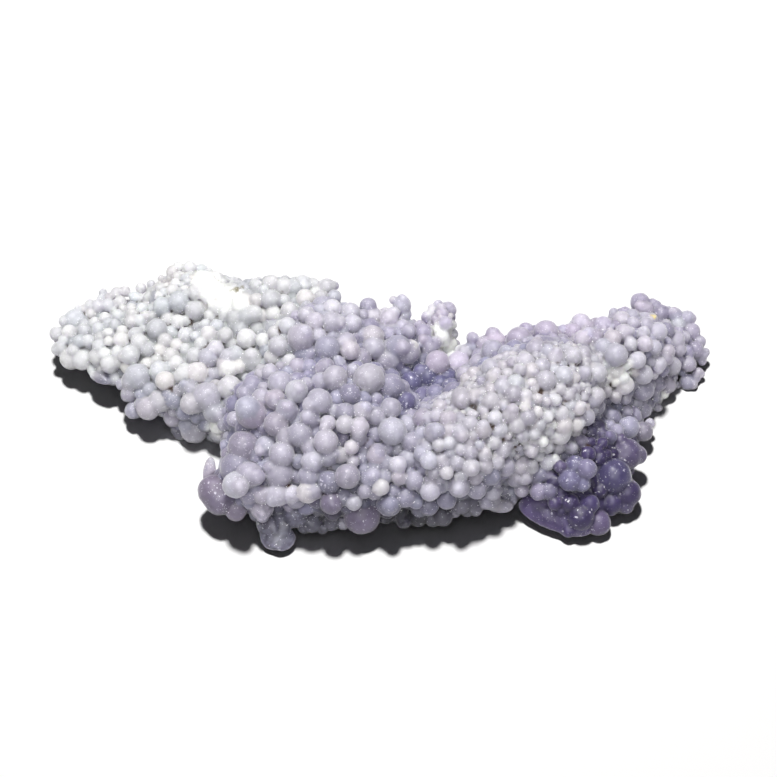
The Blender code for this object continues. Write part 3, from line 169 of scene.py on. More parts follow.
RIDGE = [
    (592.5, 361.7, 7.4), (585, 361.7, 5.6), (598, 359, 6.2), (555, 357, 8.6), (597, 373, 9.6, T), (603.5, 365, 5.4),
    (612, 364, 7), (637.5, 360, 8.4, T), (625.4, 365.4, 5.3, TT), (615.8, 371.7, 6.3, T), (608.3, 369.5, 5.6),
    (624.5, 385, 9.3), (615.8, 381.5, 5.3, TT), (609, 377.5, 4.4, T), (623, 377.5, 6.2, TT), (616.5, 375.5, 4.2, TT),
    (629.6, 372.8, 2.4, TT), (606, 381.5, 4.2), (615.4, 395.4, 5.9, TT), (625.8, 398.3, 5.1, T), (605, 391, 6.8),
    (596.7, 395, 7.8, T), (587.5, 390.8, 4.1, TT), (581.7, 386, 3.9, T), (575.8, 388.5, 5.3, T), (575.8, 397, 4.5, TT),
    (568.3, 394, 7.1), (583.3, 397, 5.2), (591.7, 401, 6.6), (564, 375, 8.8, T), (555, 371, 6.2), (552.5, 366.5, 4.1, T),
    (554.6, 382.5, 4.6, T), (575, 378, 5.2, T), (583.3, 374, 7.8), (560, 389, 6.4), (555.8, 400, 5.9, TT), (541.7, 366, 8.2),
    (545.8, 380.5, 9.8), (537.5, 377, 4.6, T), (530.8, 371, 8.1), (531.7, 382.5, 4.3, TT), (515.8, 383, 8.4),
    (525, 362, 9.3), (513.3, 362.5, 7.3), (520, 370, 6.6, T), (507.5, 374, 5.8), (503.3, 366.7, 6.2), (491, 368, 9.3),
    (493.3, 376.5, 7.3, T), (491, 361.7, 3.8, T), (483.3, 382.5, 7.2, U), (474, 373.5, 6.9, TT), (467, 379.5, 6.9, TT),
    (475.8, 387, 4.4, T), (491.7, 389.5, 6.6), (461.7, 398.3, 10.7, T), (475, 396, 7.6, T), (483.3, 393.5, 6.2),
    (503, 387, 8.6), (513.3, 394, 9.1), (525, 396.5, 7.6), (509, 399, 5.3), (518, 402.5, 5.1), (525, 406.5, 5.8, T),
    (531, 404, 5.1), (537.5, 398.5, 5.4, T), (545, 400.5, 6.3), (490.8, 401, 8.6), (484, 402.5, 5.6), (495, 418, 7.4, T),
    (486.7, 417.5, 5.3, T), (484, 409, 6.2), (483.3, 430, 8.3, T), (470, 424, 8.3), (471.7, 415, 5.6), (459, 420, 7.2),
    (439.5, 406.5, 6.9, TT), (445.8, 397.5, 5.7), (429, 417.5, 6.2, T), (437.5, 416, 7.2, T), (448.3, 419, 8.6, T),
    (434, 432.5, 9.8, T), (447.5, 431.5, 8.6), (459, 432, 9.3), (439, 445, 6.6, TT), (449, 443, 6.1, TT),
    (427.5, 446.5, 6.8), (499, 430, 8.6), (517, 425, 8.1), (511, 414, 8.1), (528, 417, 8.4), (537.5, 413, 5.4, T),
    (548, 416.5, 6.1, T), (543.4, 441.6, 5.3, TT), (522.5, 435, 6.5), (534, 433, 6.6), (468, 443, 8.2, U),
    (507.5, 444, 6.4), (494, 441.7, 7.6), (506, 436, 5), (472, 436, 6), (553.3, 425.8, 3.2, TT), (560.8, 413, 7.4),
    (568.5, 414.5, 6.2), (570, 404, 6), (578.3, 407.7, 7.3, T), (585.8, 406.7, 4, TT), (585.8, 416.7, 8.9), (592, 425, 5),
    (564, 425.5, 8.4, T), (576, 424.5, 7.4, T), (576.7, 431, 4.8, T), (583.8, 431, 3.9, TT), (560.8, 435, 9.3),
    (580.8, 441.5, 6.8), (590.4, 441.7, 5.2), (571, 447.7, 7), (558.3, 445.5, 7.8), (484, 421, 4, U), (504, 405, 6),
    (552, 393, 5), (562, 365, 5), (545, 408, 4), (540, 424, 6), (549, 431, 5), (553, 411, 5), (556, 420, 4, U),
    (572, 369, 4), (590, 383, 5, U), (597, 384, 5, U), (535, 388, 5), (527, 387, 4), (500, 376, 5, U), (501, 396, 5),
    (538, 444, 5), (548, 447, 6), (530, 440, 4), (515, 442, 4), (483, 440, 5), (455, 409, 6, U), (466, 407, 5, U),
    (495, 408, 5), (503, 421, 5), (511, 429, 5), (533, 424, 5), (523, 426, 4), (543, 432, 4, U), (568, 384, 4),
    (535, 357, 5), (543, 357, 4), (592, 412, 5), (535, 405, 4), (480, 388, 4), (455, 441, 6), (480, 446, 6),
]
RIDGE_END = [
    (675, 340, 9.4), (683.5, 337, 6.2), (679.5, 349.5, 6.5, T), (667.5, 351.5, 7.2, T), (666, 358, 7.4), (678, 324, 7.4),
    (687, 317, 6.6), (677.5, 332, 5.2), (691.5, 332, 8.6), (699.5, 342, 6.2), (695, 350, 8.4), (705.5, 352.5, 4.4),
    (687, 351, 6, U), (688, 364, 7.9), (695, 357.5, 4.4), (702.3, 354.5, 5.6), (702, 361, 4.2, U), (698, 373, 5.2, T),
    (695, 378, 5.6), (688, 382.5, 8.1), (680.8, 393.5, 5.8), (671.7, 366, 9.1), (670.8, 377, 6.6), (667.5, 385, 8, T),
    (659, 364, 7.4, T), (656.5, 383, 7.2), (654, 390.5, 5.6), (643, 390, 10.5), (643, 374.5, 9.5), (654, 375, 4.2, T),
    (635, 403, 7.6), (627.5, 411, 5.3, T), (643, 409.5, 8.4), (617, 408, 6.2, U), (654, 415, 6.8), (658, 408, 4, T),
    (655, 398, 4.4, U), (647, 401.5, 4.4, U), (596.7, 407, 8, U), (607.5, 410, 5.8), (611.7, 417, 9, U), (601, 417, 8, U),
    (598, 427, 8, U), (610, 425, 5.4, U), (682, 371, 5, U), (664, 394, 5, U), (650, 362, 5, U), (655, 356, 5, U),
    (666, 324, 5), (668, 333, 4), (651, 385, 5), (635, 372, 5), (633, 385, 5, U), (629, 392, 5, U), (620, 402, 5, U),
    (668, 310, 4), (679, 359, 5, U), (676, 385, 4, U), (643, 399, 5), (649, 405, 5, U), (628, 402, 5, U),
]
FRONT = [
    (312.5, 461, 10.6, T), (309, 476, 10.6), (307.5, 492.5, 10.3, T), (296, 499, 9.2), (328.5, 482, 11.2), (331.5, 503, 11, T),
    (328, 456, 10), (340, 455, 8.2), (347.5, 476.3, 12.1, T), (363, 458, 8, U), (366, 470, 7.2, U), (371, 478, 9.2),
    (376.7, 456, 9.2, T), (375, 467, 7.6), (385.5, 462.7, 7.4, T), (397.5, 465, 8.7, TT), (399, 477.5, 7.5, T),
    (380.8, 487.3, 8.1, TT), (374.5, 492, 7.8), (364.6, 491.7, 6.9, TT), (354, 502.3, 7.9, TT), (344, 497, 8.2),
    (362, 516, 17.4), (389, 504, 12), (405, 497, 10.2), (414, 480.5, 9.4), (407.5, 459, 9.4), (383.5, 477, 8.2),
    (414, 499, 8.2), (420, 507.5, 8.8), (429, 460.5, 8.6, T), (422.5, 453.5, 8.3), (441.7, 460, 7.2), (440, 467.5, 6.4),
    (434, 473, 6.3, T), (446.7, 472.5, 6.8, TT), (456.7, 463, 7.8), (471, 467.5, 8.8, T), (485, 455.5, 6.8, T),
    (485, 464.5, 7, T), (470, 453, 7.6), (461, 449, 6.6), (461.7, 475, 6.4, T), (459, 486.5, 10.4, T), (448, 484, 6.4),
    (430, 491.5, 9.4, T), (436.5, 487, 7.6), (431, 481, 7.2), (429, 506, 9.6), (446.7, 500, 9.2), (461, 504, 9.8),
    (471.7, 502, 7), (476, 510.5, 5.7), (486, 502.5, 6.8), (475, 477, 7.4), (476.7, 489, 9.7, T), (491, 475, 10),
    (492.5, 491.5, 8.3, T), (503, 491, 7.4), (511, 493, 6.4), (506, 466.7, 9.3), (514, 471.5, 7.3, T), (521, 464.5, 8.8, T),
    (531.7, 466.7, 6.8, TT), (515.8, 478.5, 8.8), (525, 477.5, 7.3, T), (521.7, 490, 7.1, T), (527.5, 497, 4.8),
    (502.5, 450, 8.3), (497, 462, 7.4), (531, 449.5, 7.4), (538, 455.5, 5.8, T), (539, 473, 9, U), (547.5, 461.7, 7.9),
    (520, 451, 4.6, U), (509, 458, 3.2, T), (555, 458.8, 5.1, TT), (560, 466.7, 6.4, T), (548, 475, 6, U), (394, 491, 7),
    (408, 470, 7, U), (423, 469, 6, U), (450, 492, 6, U), (449, 460, 5), (478, 500, 5), (495, 500, 6), (504, 500, 6),
    (338, 490, 7, U), (318, 489, 7, U), (300, 461, 8), (298, 476, 7, U), (320, 470, 7, U), (387, 472, 6, U),
    (440, 478, 6), (421, 487, 6), (360, 480, 6, U), (363, 448, 6, U), (356, 487, 7, U), (534, 478, 6, U),
    (512, 500, 5), (534, 461, 5), (450, 452, 6), (484, 483, 6), (497, 483, 5), (507, 481, 5),
]
FRONT_LEFT = [
    (255, 457, 6.6, U), (237, 468, 16.4, U), (249, 475, 12.6), (263, 469, 8, U), (235.4, 485, 12.4, TT), (250, 493, 10.8, U),
    (262, 494.5, 8.8), (277.5, 494, 11.7, T), (279, 473.5, 14), (281.7, 454, 12.2, T), (292.5, 494.3, 8.8, T),
    (214, 491, 15.5), (220, 499, 15.5), (236, 510, 10.6), (262, 508, 11.4), (277.5, 507, 8, U), (228, 455, 7, U),
    (250, 502, 7, U), (270, 462, 7, U), (290, 468, 6, U), (289, 505, 6, U),
]
LOBE = [
    (574.5, 465, 9.4), (570, 480, 10.8, T), (586.7, 469, 9.8, TT), (581.5, 483.3, 8.5, TT), (588, 454, 7.4), (600, 458, 6.6, U),
    (539, 491.7, 8.8, T), (549, 491, 8.4, T), (560, 493, 9.6, U), (626, 454, 15.4, U), (637, 455, 9.4), (613.5, 476.5, 17, N),
    (627, 493, 13.6, U), (625, 505, 8.6, U), (612, 503, 10, U), (580.8, 517, 13.2, U), (598, 523, 12.2), (629, 427, 10.2, T),
    (643, 431.5, 9.5, T), (617, 430.5, 6.6, T), (610, 437, 6.6), (602.5, 443, 5.6), (570, 503, 9, U), (590, 504, 9, U),
    (597, 451, 6, U), (606, 455, 6, U), (602, 434, 6, U), (591, 431, 6, U), (554, 481, 8, U), 
    (555, 503, 7), (600, 490, 8, U), (630, 441, 7), (621, 440, 6),
]
# grapes under the rim, close to the floor: across, down, radius, height of the middle
LOW_RIM = [
    (403.5, 520.5, 7.8, 2.8), (386, 517, 7.2, 2.8), (418, 517, 9.5, 3.0), (331.7, 522.5, 8.3, 2.8), (343, 523.5, 6.5, 2.4),
    (312.5, 524, 9, 2.8), (319, 508, 9, 4.4), (295, 515.5, 12.4, 4.2), (443, 517, 9.4, 3.4), (433, 519, 8, 2.6),
    (568, 530, 7.4, 2.2), (478, 506, 6.2, 4.0), (500, 504, 6, 3.6), (508, 503, 5, 3.4), (492, 505, 5.5, 3.6),
    (304, 527, 6.5, 2.0), (322, 528, 6.0, 2.0), (401, 511.5, 7, 4.4), (258, 513, 9, 3.6), (275, 516, 8, 3.0),
    (611, 509, 7, 2.6), (555, 520, 7, 2.6), (545, 513, 6, 2.8), (575, 524, 7, 2.4), (650, 423, 5, 4.0), (662, 404, 5, 4.4),
    (455, 512, 6, 3.4), (467, 511, 6, 3.4), (424, 513, 7, 3.8), (350, 513, 8, 3.8), (377, 508, 8, 4.4),
]

# the outline of the piece in the view, read clockwise from the wing tip: across, down
OUTLINE = [
    (50, 335), (55, 326), (64, 312), (80, 302), (100, 290), (117, 285), (147, 281), (165, 268), (175, 262), (190, 260), (202, 262),
    (215, 270), (230, 275), (252, 276), (272, 274), (302, 274), (327, 277), (338, 283), (341, 300), (352, 302), (360, 298),
    (368, 296), (380, 302), (392, 300), (402, 295), (411, 303), (411, 318), (417, 319), (427, 304), (440, 299), (452, 300),
    (457, 312), (457, 334), (461, 345), (467, 333), (478, 333), (495, 330), (508, 333), (524, 322), (534, 322), (546, 319),
    (558, 325), (571, 318), (581, 313), (590, 320), (604, 316), (612, 310), (625, 306), (631, 296), (640, 292), (651, 299),
    (665, 304), (675, 307), (690, 309), (694, 320), (700, 331), (707, 345), (712, 352), (708, 362), (703, 372), (703, 381),
    (690, 391), (684, 400), (676, 403), (664, 408), (660, 418), (655, 426), (650, 442), (648, 460), (641, 468), (634, 478),
    (641, 490), (641, 503), (632, 514), (620, 517), (609, 519), (611, 526), (605, 535), (593, 538), (582, 535), (560, 536),
    (545, 527), (520, 508), (500, 512), (470, 517), (452, 519), (446, 528), (430, 530), (412, 530), (400, 530), (382, 530),
    (375, 534), (362, 536), (348, 532), (320, 535), (298, 532), (290, 547), (277, 552), (266, 545), (256, 524), (246, 518),
    (236, 522), (220, 518), (207, 510), (198, 496), (198, 486), (204, 478), (209, 461), (219, 468), (220, 456), (217, 448),
    (205, 444), (190, 446), (178, 446), (170, 436), (171, 429), (160, 422), (145, 421), (130, 420), (124, 408), (116, 395),
    (104, 384), (90, 374), (70, 370), (60, 362), (52, 350),
]
# the foot that joins the lobes to the flat cut, set back under the overhanging rims:
# name, x, y, z of the middle, half length, half width, half height (mm), turn about Z (degrees)
FOOT = [
    ("foot_wing", -34.0, 3.5, 1.0, 12.5, 6.5, 6.5, 8),
    ("foot_centre", -10.0, -3.5, 0.0, 22.0, 15.0, 10.5, -6),
    ("foot_saddle", 9.0, -3.0, 0.0, 15.0, 9.0, 8.0, 8),
    ("foot_ridge", 31.5, 0.5, 0.0, 18.0, 8.0, 10.0, 24),
    ("foot_lobe", 38.0, -12.0, 0.0, 9.0, 7.0, 5.0, 20),
    ("foot_end", 49.0, 7.0, 0.5, 8.0, 6.5, 7.5, 10),
]

# thin broken chips, each a disc pressed flat: across, down, height of the middle, half length, half width,
# half thickness (mm), turn about Z, lean towards the front (degrees)
CHIPS = [
    ("chip_front", 275.0, 531.5, 3.0, 3.1, 3.7, 0.95, -14, 28),
    ("chip_front_edge", 282.0, 538.5, 2.3, 2.7, 2.5, 0.8, 22, 16),
    ("chip_front_top", 267.0, 526.0, 3.8, 2.4, 2.0, 0.8, -35, 38),
    ("chip_point", 209.5, 473.0, 6.2, 1.3, 3.3, 0.7, -8, 44),
    ("chip_lobe", 597.5, 497.0, 4.6, 1.6, 1.5, 0.9, 20, 30),
    ("chip_end", 667.5, 400.0, 6.4, 1.9, 1.5, 0.9, 10, 25),
    ("leaf_lobe", 553.0, 516.0, 3.4, 7.4, 2.7, 1.0, -24, 36),
    ("leaf_lobe_low", 570.0, 525.0, 2.6, 4.4, 2.2, 1.0, -16, 26),
    ("lens_front", 500.5, 506.0, 4.2, 2.6, 1.4, 1.1, 0, 20),
    ("rim_wing", 100.0, 378.0, 6.4, 2.6, 1.1, 0.8, -28, 25),
]
# the broken face at the top of the wing's back: flat scales on the mass, facing up and forward:
# across, down, half length, half width (mm), turn about Z, lean towards the front (degrees)
BROKEN_FACE = [
    (204, 281, 2.9, 2.2, -20, 30), (214, 293, 3.0, 2.6, 10, 20), (229, 298, 3.2, 2.4, -25, 28), (243, 303, 2.4, 2.2, 15, 22),
    (221, 308, 2.8, 1.6, -8, 36), (199, 290, 2.2, 1.9, 25, 24), (236, 312, 2.6, 1.5, -12, 38), (212, 278, 2.6, 1.5, 8, 14),
    (233, 291, 2.4, 1.6, -30, 16), (443, 341, 1.5, 1.3, 0, 48), (434, 313, 1.2, 1.6, 20, 40),
]


# rounds of seeded grapes: radius (mm), how far the middle stands off the mass (radii), how near two may be (of touching)
COVER = [(2.15, 0.42, 0.80), (1.50, 0.30, 0.74), (1.0, 0.0, 0.70), (0.72, -0.25, 0.62)]
# the same on the side that is set out grape by grape: low swells, and small grapes only along the crest
COVER_SEEN = [-0.30, -0.30, 0.50, 0.95]
CREST = (6.0, 46.0, 14.5)   # from x to x, above z
SUGARY = (-48.0, -30.0, 21.0)   # the fine crust at the back of the wing: from x to x, beyond y
STANDS = (0.05, 0.68, 1.12, 1.45)   # how far U, N, T and TT stand out where the grapes grow on short stems, radii
ON_STEMS = (2, 4, 5, 7, 8)          # the centre, the ridge and its back, the front and its left end
FULLER = 1.05            # what the fillets between grapes take from each is given back
FULLER_WING = 1.10       # on the wing they swell into each other


def sight(across, down):
    """(eye, unit direction) of the line of sight through that place in the view."""
    height = math.radians(VIEW_HEIGHT)
    back = np.array([0.0, -math.cos(height), math.sin(height)])
    up = np.array([0.0, math.sin(height), math.cos(height)])
    right = np.array([1.0, 0.0, 0.0])
    eye = np.array(VIEW_AIM) + VIEW_DISTANCE * back
    way = -VIEW_DISTANCE * back + VIEW_UNIT * ((across - VIEW_MIDDLE) * right + (VIEW_MIDDLE - down) * up)
    return eye, way / np.linalg.norm(way)


def at_height(across, down, z):
    eye, way = sight(across, down)
    return eye + way * ((z - eye[2]) / way[2])


def turned(turn, lean=0.0):
    """Columns are the axes of a lobe after a lean towards the front (about X) and a turn about Z."""
    a, b = math.radians(turn), math.radians(lean)
    about_z = np.array([[math.cos(a), -math.sin(a), 0], [math.sin(a), math.cos(a), 0], [0, 0, 1]])
    about_x = np.array([[1, 0, 0], [0, math.cos(b), -math.sin(b)], [0, math.sin(b), math.cos(b)]])
    return about_z @ about_x


def lobes():
    """[(middle, half sizes, axes)] of the mass: the lobes of BODY and of the foot."""
    found = []
    for _, across, down, z, length, width, tall, turn in BODY:
        found.append((at_height(across, down, z), np.array([length, width, tall]), turned(turn)))
    for _, x, y, z, length, width, tall, turn in FOOT:
        found.append((np.array([x, y, z]), np.array([length, width, tall]), turned(turn)))
    return found


def nearest_hit(mass, eye, way):
    """Where the line of sight first meets the mass or, if it passes by, the place on the line nearest to it."""
    best, passing = None, (1e9, None)
    for middle, half, axes in mass:
        o = (axes.T @ (eye - middle)) / half
        d = (axes.T @ way) / half
        a, b, c = d @ d, o @ d, o @ o - 1.0
        root = b * b - a * c
        if root >= 0:
            t = (-b - math.sqrt(root)) / a
            best = t if best is None or t < best else best
        gap = (math.sqrt(max(o @ o - b * b / a, 0.0)) - 1.0) * half.min()
        if gap < passing[0]:
            passing = (gap, -b / a)
    return best if best is not None else passing[1]


def seen_grapes(mass):
    """[(middle, radius, group, lift)] of the grapes that show."""
    found, stems = [], []
    groups = (WING, WING_BACK, CENTRE, PILLAR, RIDGE_BACK, RIDGE, RIDGE_END, FRONT, FRONT_LEFT, LOBE)
    for group, members in enumerate(groups):
        for grape in members:
            across, down, radius = grape[:3]
            lift = grape[3] if len(grape) > 3 else N
            # the large ones sit deeper in the mass than the small ones
            stands = np.interp(lift, (U, N, T, TT), STANDS) if group in ON_STEMS else lift
            sunk = stands - 0.025 * max(radius - 7.0, 0.0)
            eye, way = sight(across, down)
            t = nearest_hit(mass, eye, way)
            # a radius in the view is smaller in mm the nearer its grape is to the eye
            scale = VIEW_UNIT * t / VIEW_DISTANCE
            radius = radius * scale * (FULLER_WING if group < 2 else FULLER)
            found.append((eye + way * (t - sunk * radius), radius, group, lift))
            if group in ON_STEMS and lift > N:
                stems.append((eye + way * (t - (sunk - 0.75) * radius), 0.74 * radius, 12, U))
    for across, down, radius, z in LOW_RIM:
        found.append((at_height(across, down, z), radius * VIEW_UNIT, 10, N))
    return found + stems


def in_outline(points, radii):
    """Whether each ball stays inside the outline of the piece in the view."""
    height = math.radians(VIEW_HEIGHT)
    back = np.array([0.0, -math.cos(height), math.sin(height)])
    up = np.array([0.0, math.sin(height), math.cos(height)])
    off = points - (np.array(VIEW_AIM) + VIEW_DISTANCE * back)
    scale = VIEW_DISTANCE / (-(off @ back)) / VIEW_UNIT
    seen = np.stack([VIEW_MIDDLE + off[:, 0] * scale, VIEW_MIDDLE - (off @ up) * scale], axis=1)
    corner = np.array(OUTLINE, float)
    following = np.roll(corner, -1, axis=0)
    side = following - corner
    along = np.clip(((seen[:, None] - corner) * side).sum(2) / (side**2).sum(1), 0, 1)
    gap = np.linalg.norm(seen[:, None] - (corner + along[..., None] * side), axis=2).min(axis=1)
    x, y = seen[:, :1], seen[:, 1:]
    crossed = (corner[:, 1] > y) != (following[:, 1] > y)
    crossed &= x < side[:, 0] * (y - corner[:, 1]) / np.where(side[:, 1] == 0, 1e-9, side[:, 1]) + corner[:, 0]
    inside = crossed.sum(axis=1) % 2 == 1
    return inside & (gap > radii * scale + 0.5)


def covering_grapes(mass, seen):
    """Seeded grapes on what the view doesn't show, and small ones deep between those that it does."""
    rng = np.random.default_rng(7)
    middles = np.zeros((9000, 3))
    radii = np.zeros(9000)
    known = len(seen)
    middles[:known] = [g[0] for g in seen]
    radii[:known] = [g[1] for g in seen]
    added = []
    golden = math.pi * (3.0 - math.sqrt(5.0))
    height = math.radians(VIEW_HEIGHT)
    towards_eye = np.array([0.0, -math.cos(height), math.sin(height)])
    for turn_number, (size, deep, close) in enumerate(COVER):
        for number, (middle, half, axes) in enumerate(mass):
            pairs = (half[0] * half[1]) ** 1.6, (half[0] * half[2]) ** 1.6, (half[1] * half[2]) ** 1.6
            area = 4.0 * math.pi * (sum(pairs) / 3) ** (1 / 1.6)
            count = int(1.4 * area / size**2)
            i = np.arange(count)
            z = 1.0 - 2.0 * (i + 0.5) / count
            flat = np.sqrt(1.0 - z * z)
            unit = np.stack([flat * np.cos(golden * i), flat * np.sin(golden * i), z], axis=1)
            points = middle + (unit * half) @ axes.T
            normals = (unit / half) @ axes.T
            normals /= np.linalg.norm(normals, axis=1)[:, None]
            open_air = points[:, 2] > (1.6 if number >= len(BODY) else 1.1)
            for other, (m, h, a) in enumerate(mass):
                if other != number:
                    open_air &= ((((points - m) @ a) / h) ** 2).sum(axis=1) > 0.94
            grown = size * (0.72 + 0.62 * rng.random(count) ** 1.6)
            grown *= np.where((points[:, 0] > 25) & (points[:, 2] > 10), 0.86, 1.0)
            facing = normals @ towards_eye
            shown = facing > 0.10
            on_crest = (points[:, 0] > CREST[0]) & (points[:, 0] < CREST[1]) & (points[:, 2] > CREST[2]) & (facing > 0.40)
            on_crest |= (points[:, 0] > SUGARY[0]) & (points[:, 0] < SUGARY[1]) & (points[:, 1] > SUGARY[2])
            if size < 1.2:
                open_air &= ~shown | on_crest
            lift = np.where(shown, COVER_SEEN[turn_number], deep)
            places = points + normals * (grown * lift)[:, None]
            open_air &= in_outline(places, grown)
            for k in rng.permutation(np.nonzero(open_air)[0]):
                apart = ((middles[:known] - places[k]) ** 2).sum(axis=1)
                if (apart < (close * (radii[:known] + grown[k])) ** 2).any():
                    continue
                middles[known], radii[known] = places[k], grown[k]
                known += 1
                added.append((places[k], grown[k], 11 if deep > -0.1 else 12, lift[k]))
    return added


def budding(grapes):
    """Smaller grapes that swell out of the side of the larger ones, so that few of them stay plain balls."""
    rng = np.random.default_rng(23)
    height = math.radians(VIEW_HEIGHT)
    outward = np.array([0.0, -math.cos(height), math.sin(height)])
    found = []
    for middle, radius, group, lift in grapes:
        number, way, share, deep = rng.random(), rng.normal(size=3), rng.random(), rng.random()
        smallest, share_of = (1.8, 0.5) if group < 2 else (0.95, 0.62) if group == 5 else (1.1, 0.42)
        if radius < smallest or (group == 9 and radius > 1.7) or group > 10 or number > share_of:
            continue
        way = way / np.linalg.norm(way) + 0.35 * outward
        way /= np.linalg.norm(way)
        small = radius * (0.50 + 0.32 * share)
        found.append((middle + way * (radius - small * (0.62 - 0.3 * deep)), small, 13, lift))
    return found


def scales(mass):
    """[(middle, half sizes, axes)] of the chips and of the flat scales of the broken faces."""
    found = []
    for _, across, down, z, length, width, thick, turn, lean in CHIPS:
        found.append((at_height(across, down, z), np.array([length, width, thick]), turned(turn, lean)))
    for across, down, length, width, turn, lean in BROKEN_FACE:
        eye, way = sight(across, down)
        middle = eye + way * (nearest_hit(mass, eye, way) - 1.1)
        found.append((middle, np.array([length, width, 0.75]), turned(turn, lean)))
    return found


# ---------------------------------------------------------------- the field the skin is cut from
class Field:
    """Distances to the cluster's surface, on a grid of CELL, negative inside."""

    def __init__(self, low, high):
        # two grid planes lie half a cell to either side of the flat cut, so the cut comes out at z = 0
        self.low = np.array([low[0], low[1], -1.5 * CELL])
        self.count = tuple(int(math.ceil((h - l) / CELL)) + 1 for l, h in zip(self.low, high))
        self.x, self.y, self.z = (l + CELL * np.arange(n, dtype=np.float32) for l, n in zip(self.low, self.count))
        self.distance = np.full(self.count, 9.0, np.float32)
        self.warp = [self.waves(turn, 0.035) for turn in (0.0, 2.1, 4.4)]

    def waves(self, turn, size):
        """A smooth uneven field: what keeps the grapes from being perfect balls."""
        x, y, z = self.x[:, None, None], self.y[None, :, None], self.z[None, None, :]
        total = np.zeros(self.count, np.float32)
        for a, b, c, d, share in ((1.7, 1.1, -0.9, 0.3, 1.0), (-1.2, 2.1, 1.4, 1.9, 0.8), (3.1, -1.6, 2.7, 0.7, 0.5), (-2.3, -3.3, 3.9, 2.6, 0.35)):
            phase = a * x + b * y + (d + turn * (1 + share))
            total += share * np.sin(phase + c * z + 0.8 * np.sin(0.9 * y - 0.7 * x + turn))
        return (size * total).astype(np.float32)

    def near(self, middle, reach):
        """Slices of the grid within reach of middle, and the (warped) offsets from it there."""
        cut = []
        for axis in range(3):
            first = int(max(0, math.floor((middle[axis] - reach[axis] - self.low[axis]) / CELL)))
            last = int(min(self.count[axis], math.ceil((middle[axis] + reach[axis] - self.low[axis]) / CELL) + 1))
            cut.append(slice(first, max(first, last)))
        cut = tuple(cut)
        x = self.x[cut[0]][:, None, None] - middle[0] + self.warp[0][cut]
        y = self.y[cut[1]][None, :, None] - middle[1] + self.warp[1][cut]
        z = self.z[cut[2]][None, None, :] - middle[2] + self.warp[2][cut]
        return cut, x, y, z

    def join(self, cut, distance, blend):
        """Unites a shape with what is there, with a fillet of about blend in the crease."""
        old = self.distance[cut]
        over = np.maximum(blend - np.abs(old - distance), 0.0)
        self.distance[cut] = np.minimum(old, distance) - over * over / (4.0 * blend)

    def ball(self, middle, radius, blend):
        cut, x, y, z = self.near(middle, np.full(3, radius + 0.9))
        self.join(cut, np.sqrt(x * x + y * y + z * z) - radius, blend)

    def lobe(self, middle, half, axes, blend, ripple=None):
        cut, x, y, z = self.near(middle, np.sqrt(((axes * half) ** 2).sum(axis=1)) + 1.5)
        u, v, w = (x * axes[0, i] + y * axes[1, i] + z * axes[2, i] for i in range(3))
        k0 = np.sqrt((u / half[0]) ** 2 + (v / half[1]) ** 2 + (w / half[2]) ** 2)
        k1 = np.sqrt((u / half[0] ** 2) ** 2 + (v / half[1] ** 2) ** 2 + (w / half[2] ** 2) ** 2)
        distance = k0 * (k0 - 1.0) / np.maximum(k1, 1e-6)
        if ripple:
            distance = distance + ripple(u, v, w)
        self.join(cut, distance, blend)

    def cut_flat(self):
        self.distance = np.maximum(self.distance, -self.z[None, None, :])

    def heal(self):
        """Fills the few nodes where two parts of the skin would meet along one edge or in one point."""
        for _ in range(24):
            inside = self.distance < 0
            fill = np.zeros(inside.shape, bool)
            for b, c in ((0, 1), (0, 2), (1, 2)):
                view = {}
                for db in (0, 1):
                    for dc in (0, 1):
                        cut = [slice(None)] * 3
                        cut[b] = slice(1, None) if db else slice(None, -1)
                        cut[c] = slice(1, None) if dc else slice(None, -1)
                        view[db, dc] = tuple(cut)
                clash = (inside[view[0, 0]] == inside[view[1, 1]]) & (inside[view[1, 0]] == inside[view[0, 1]])
                clash &= inside[view[0, 0]] != inside[view[1, 0]]
                fill[view[1, 0]] |= clash & inside[view[0, 0]]
                fill[view[0, 0]] |= clash & ~inside[view[0, 0]]
            corners = inside.astype(np.uint8)
            corners = corners[:-1] + corners[1:]
            corners = corners[:, :-1] + corners[:, 1:]
            corners = corners[:, :, :-1] + corners[:, :, 1:]
            for amount, state in ((2, True), (6, False)):
                cell = np.stack(np.nonzero(corners == amount), axis=1)
                for first in ((0, 0, 0), (1, 0, 0), (0, 1, 0), (0, 0, 1)):
                    a, b = cell + first, cell + [1 - f for f in first]
                    both = (inside[tuple(a.T)] == state) & (inside[tuple(b.T)] == state)
                    there = a[both] if not state else np.stack([b[both][:, 0], a[both][:, 1], a[both][:, 2]], axis=1)
                    fill[tuple(there.T)] = True
            fill &= ~inside
            if not fill.any():
                break
            self.distance[fill] = -0.02

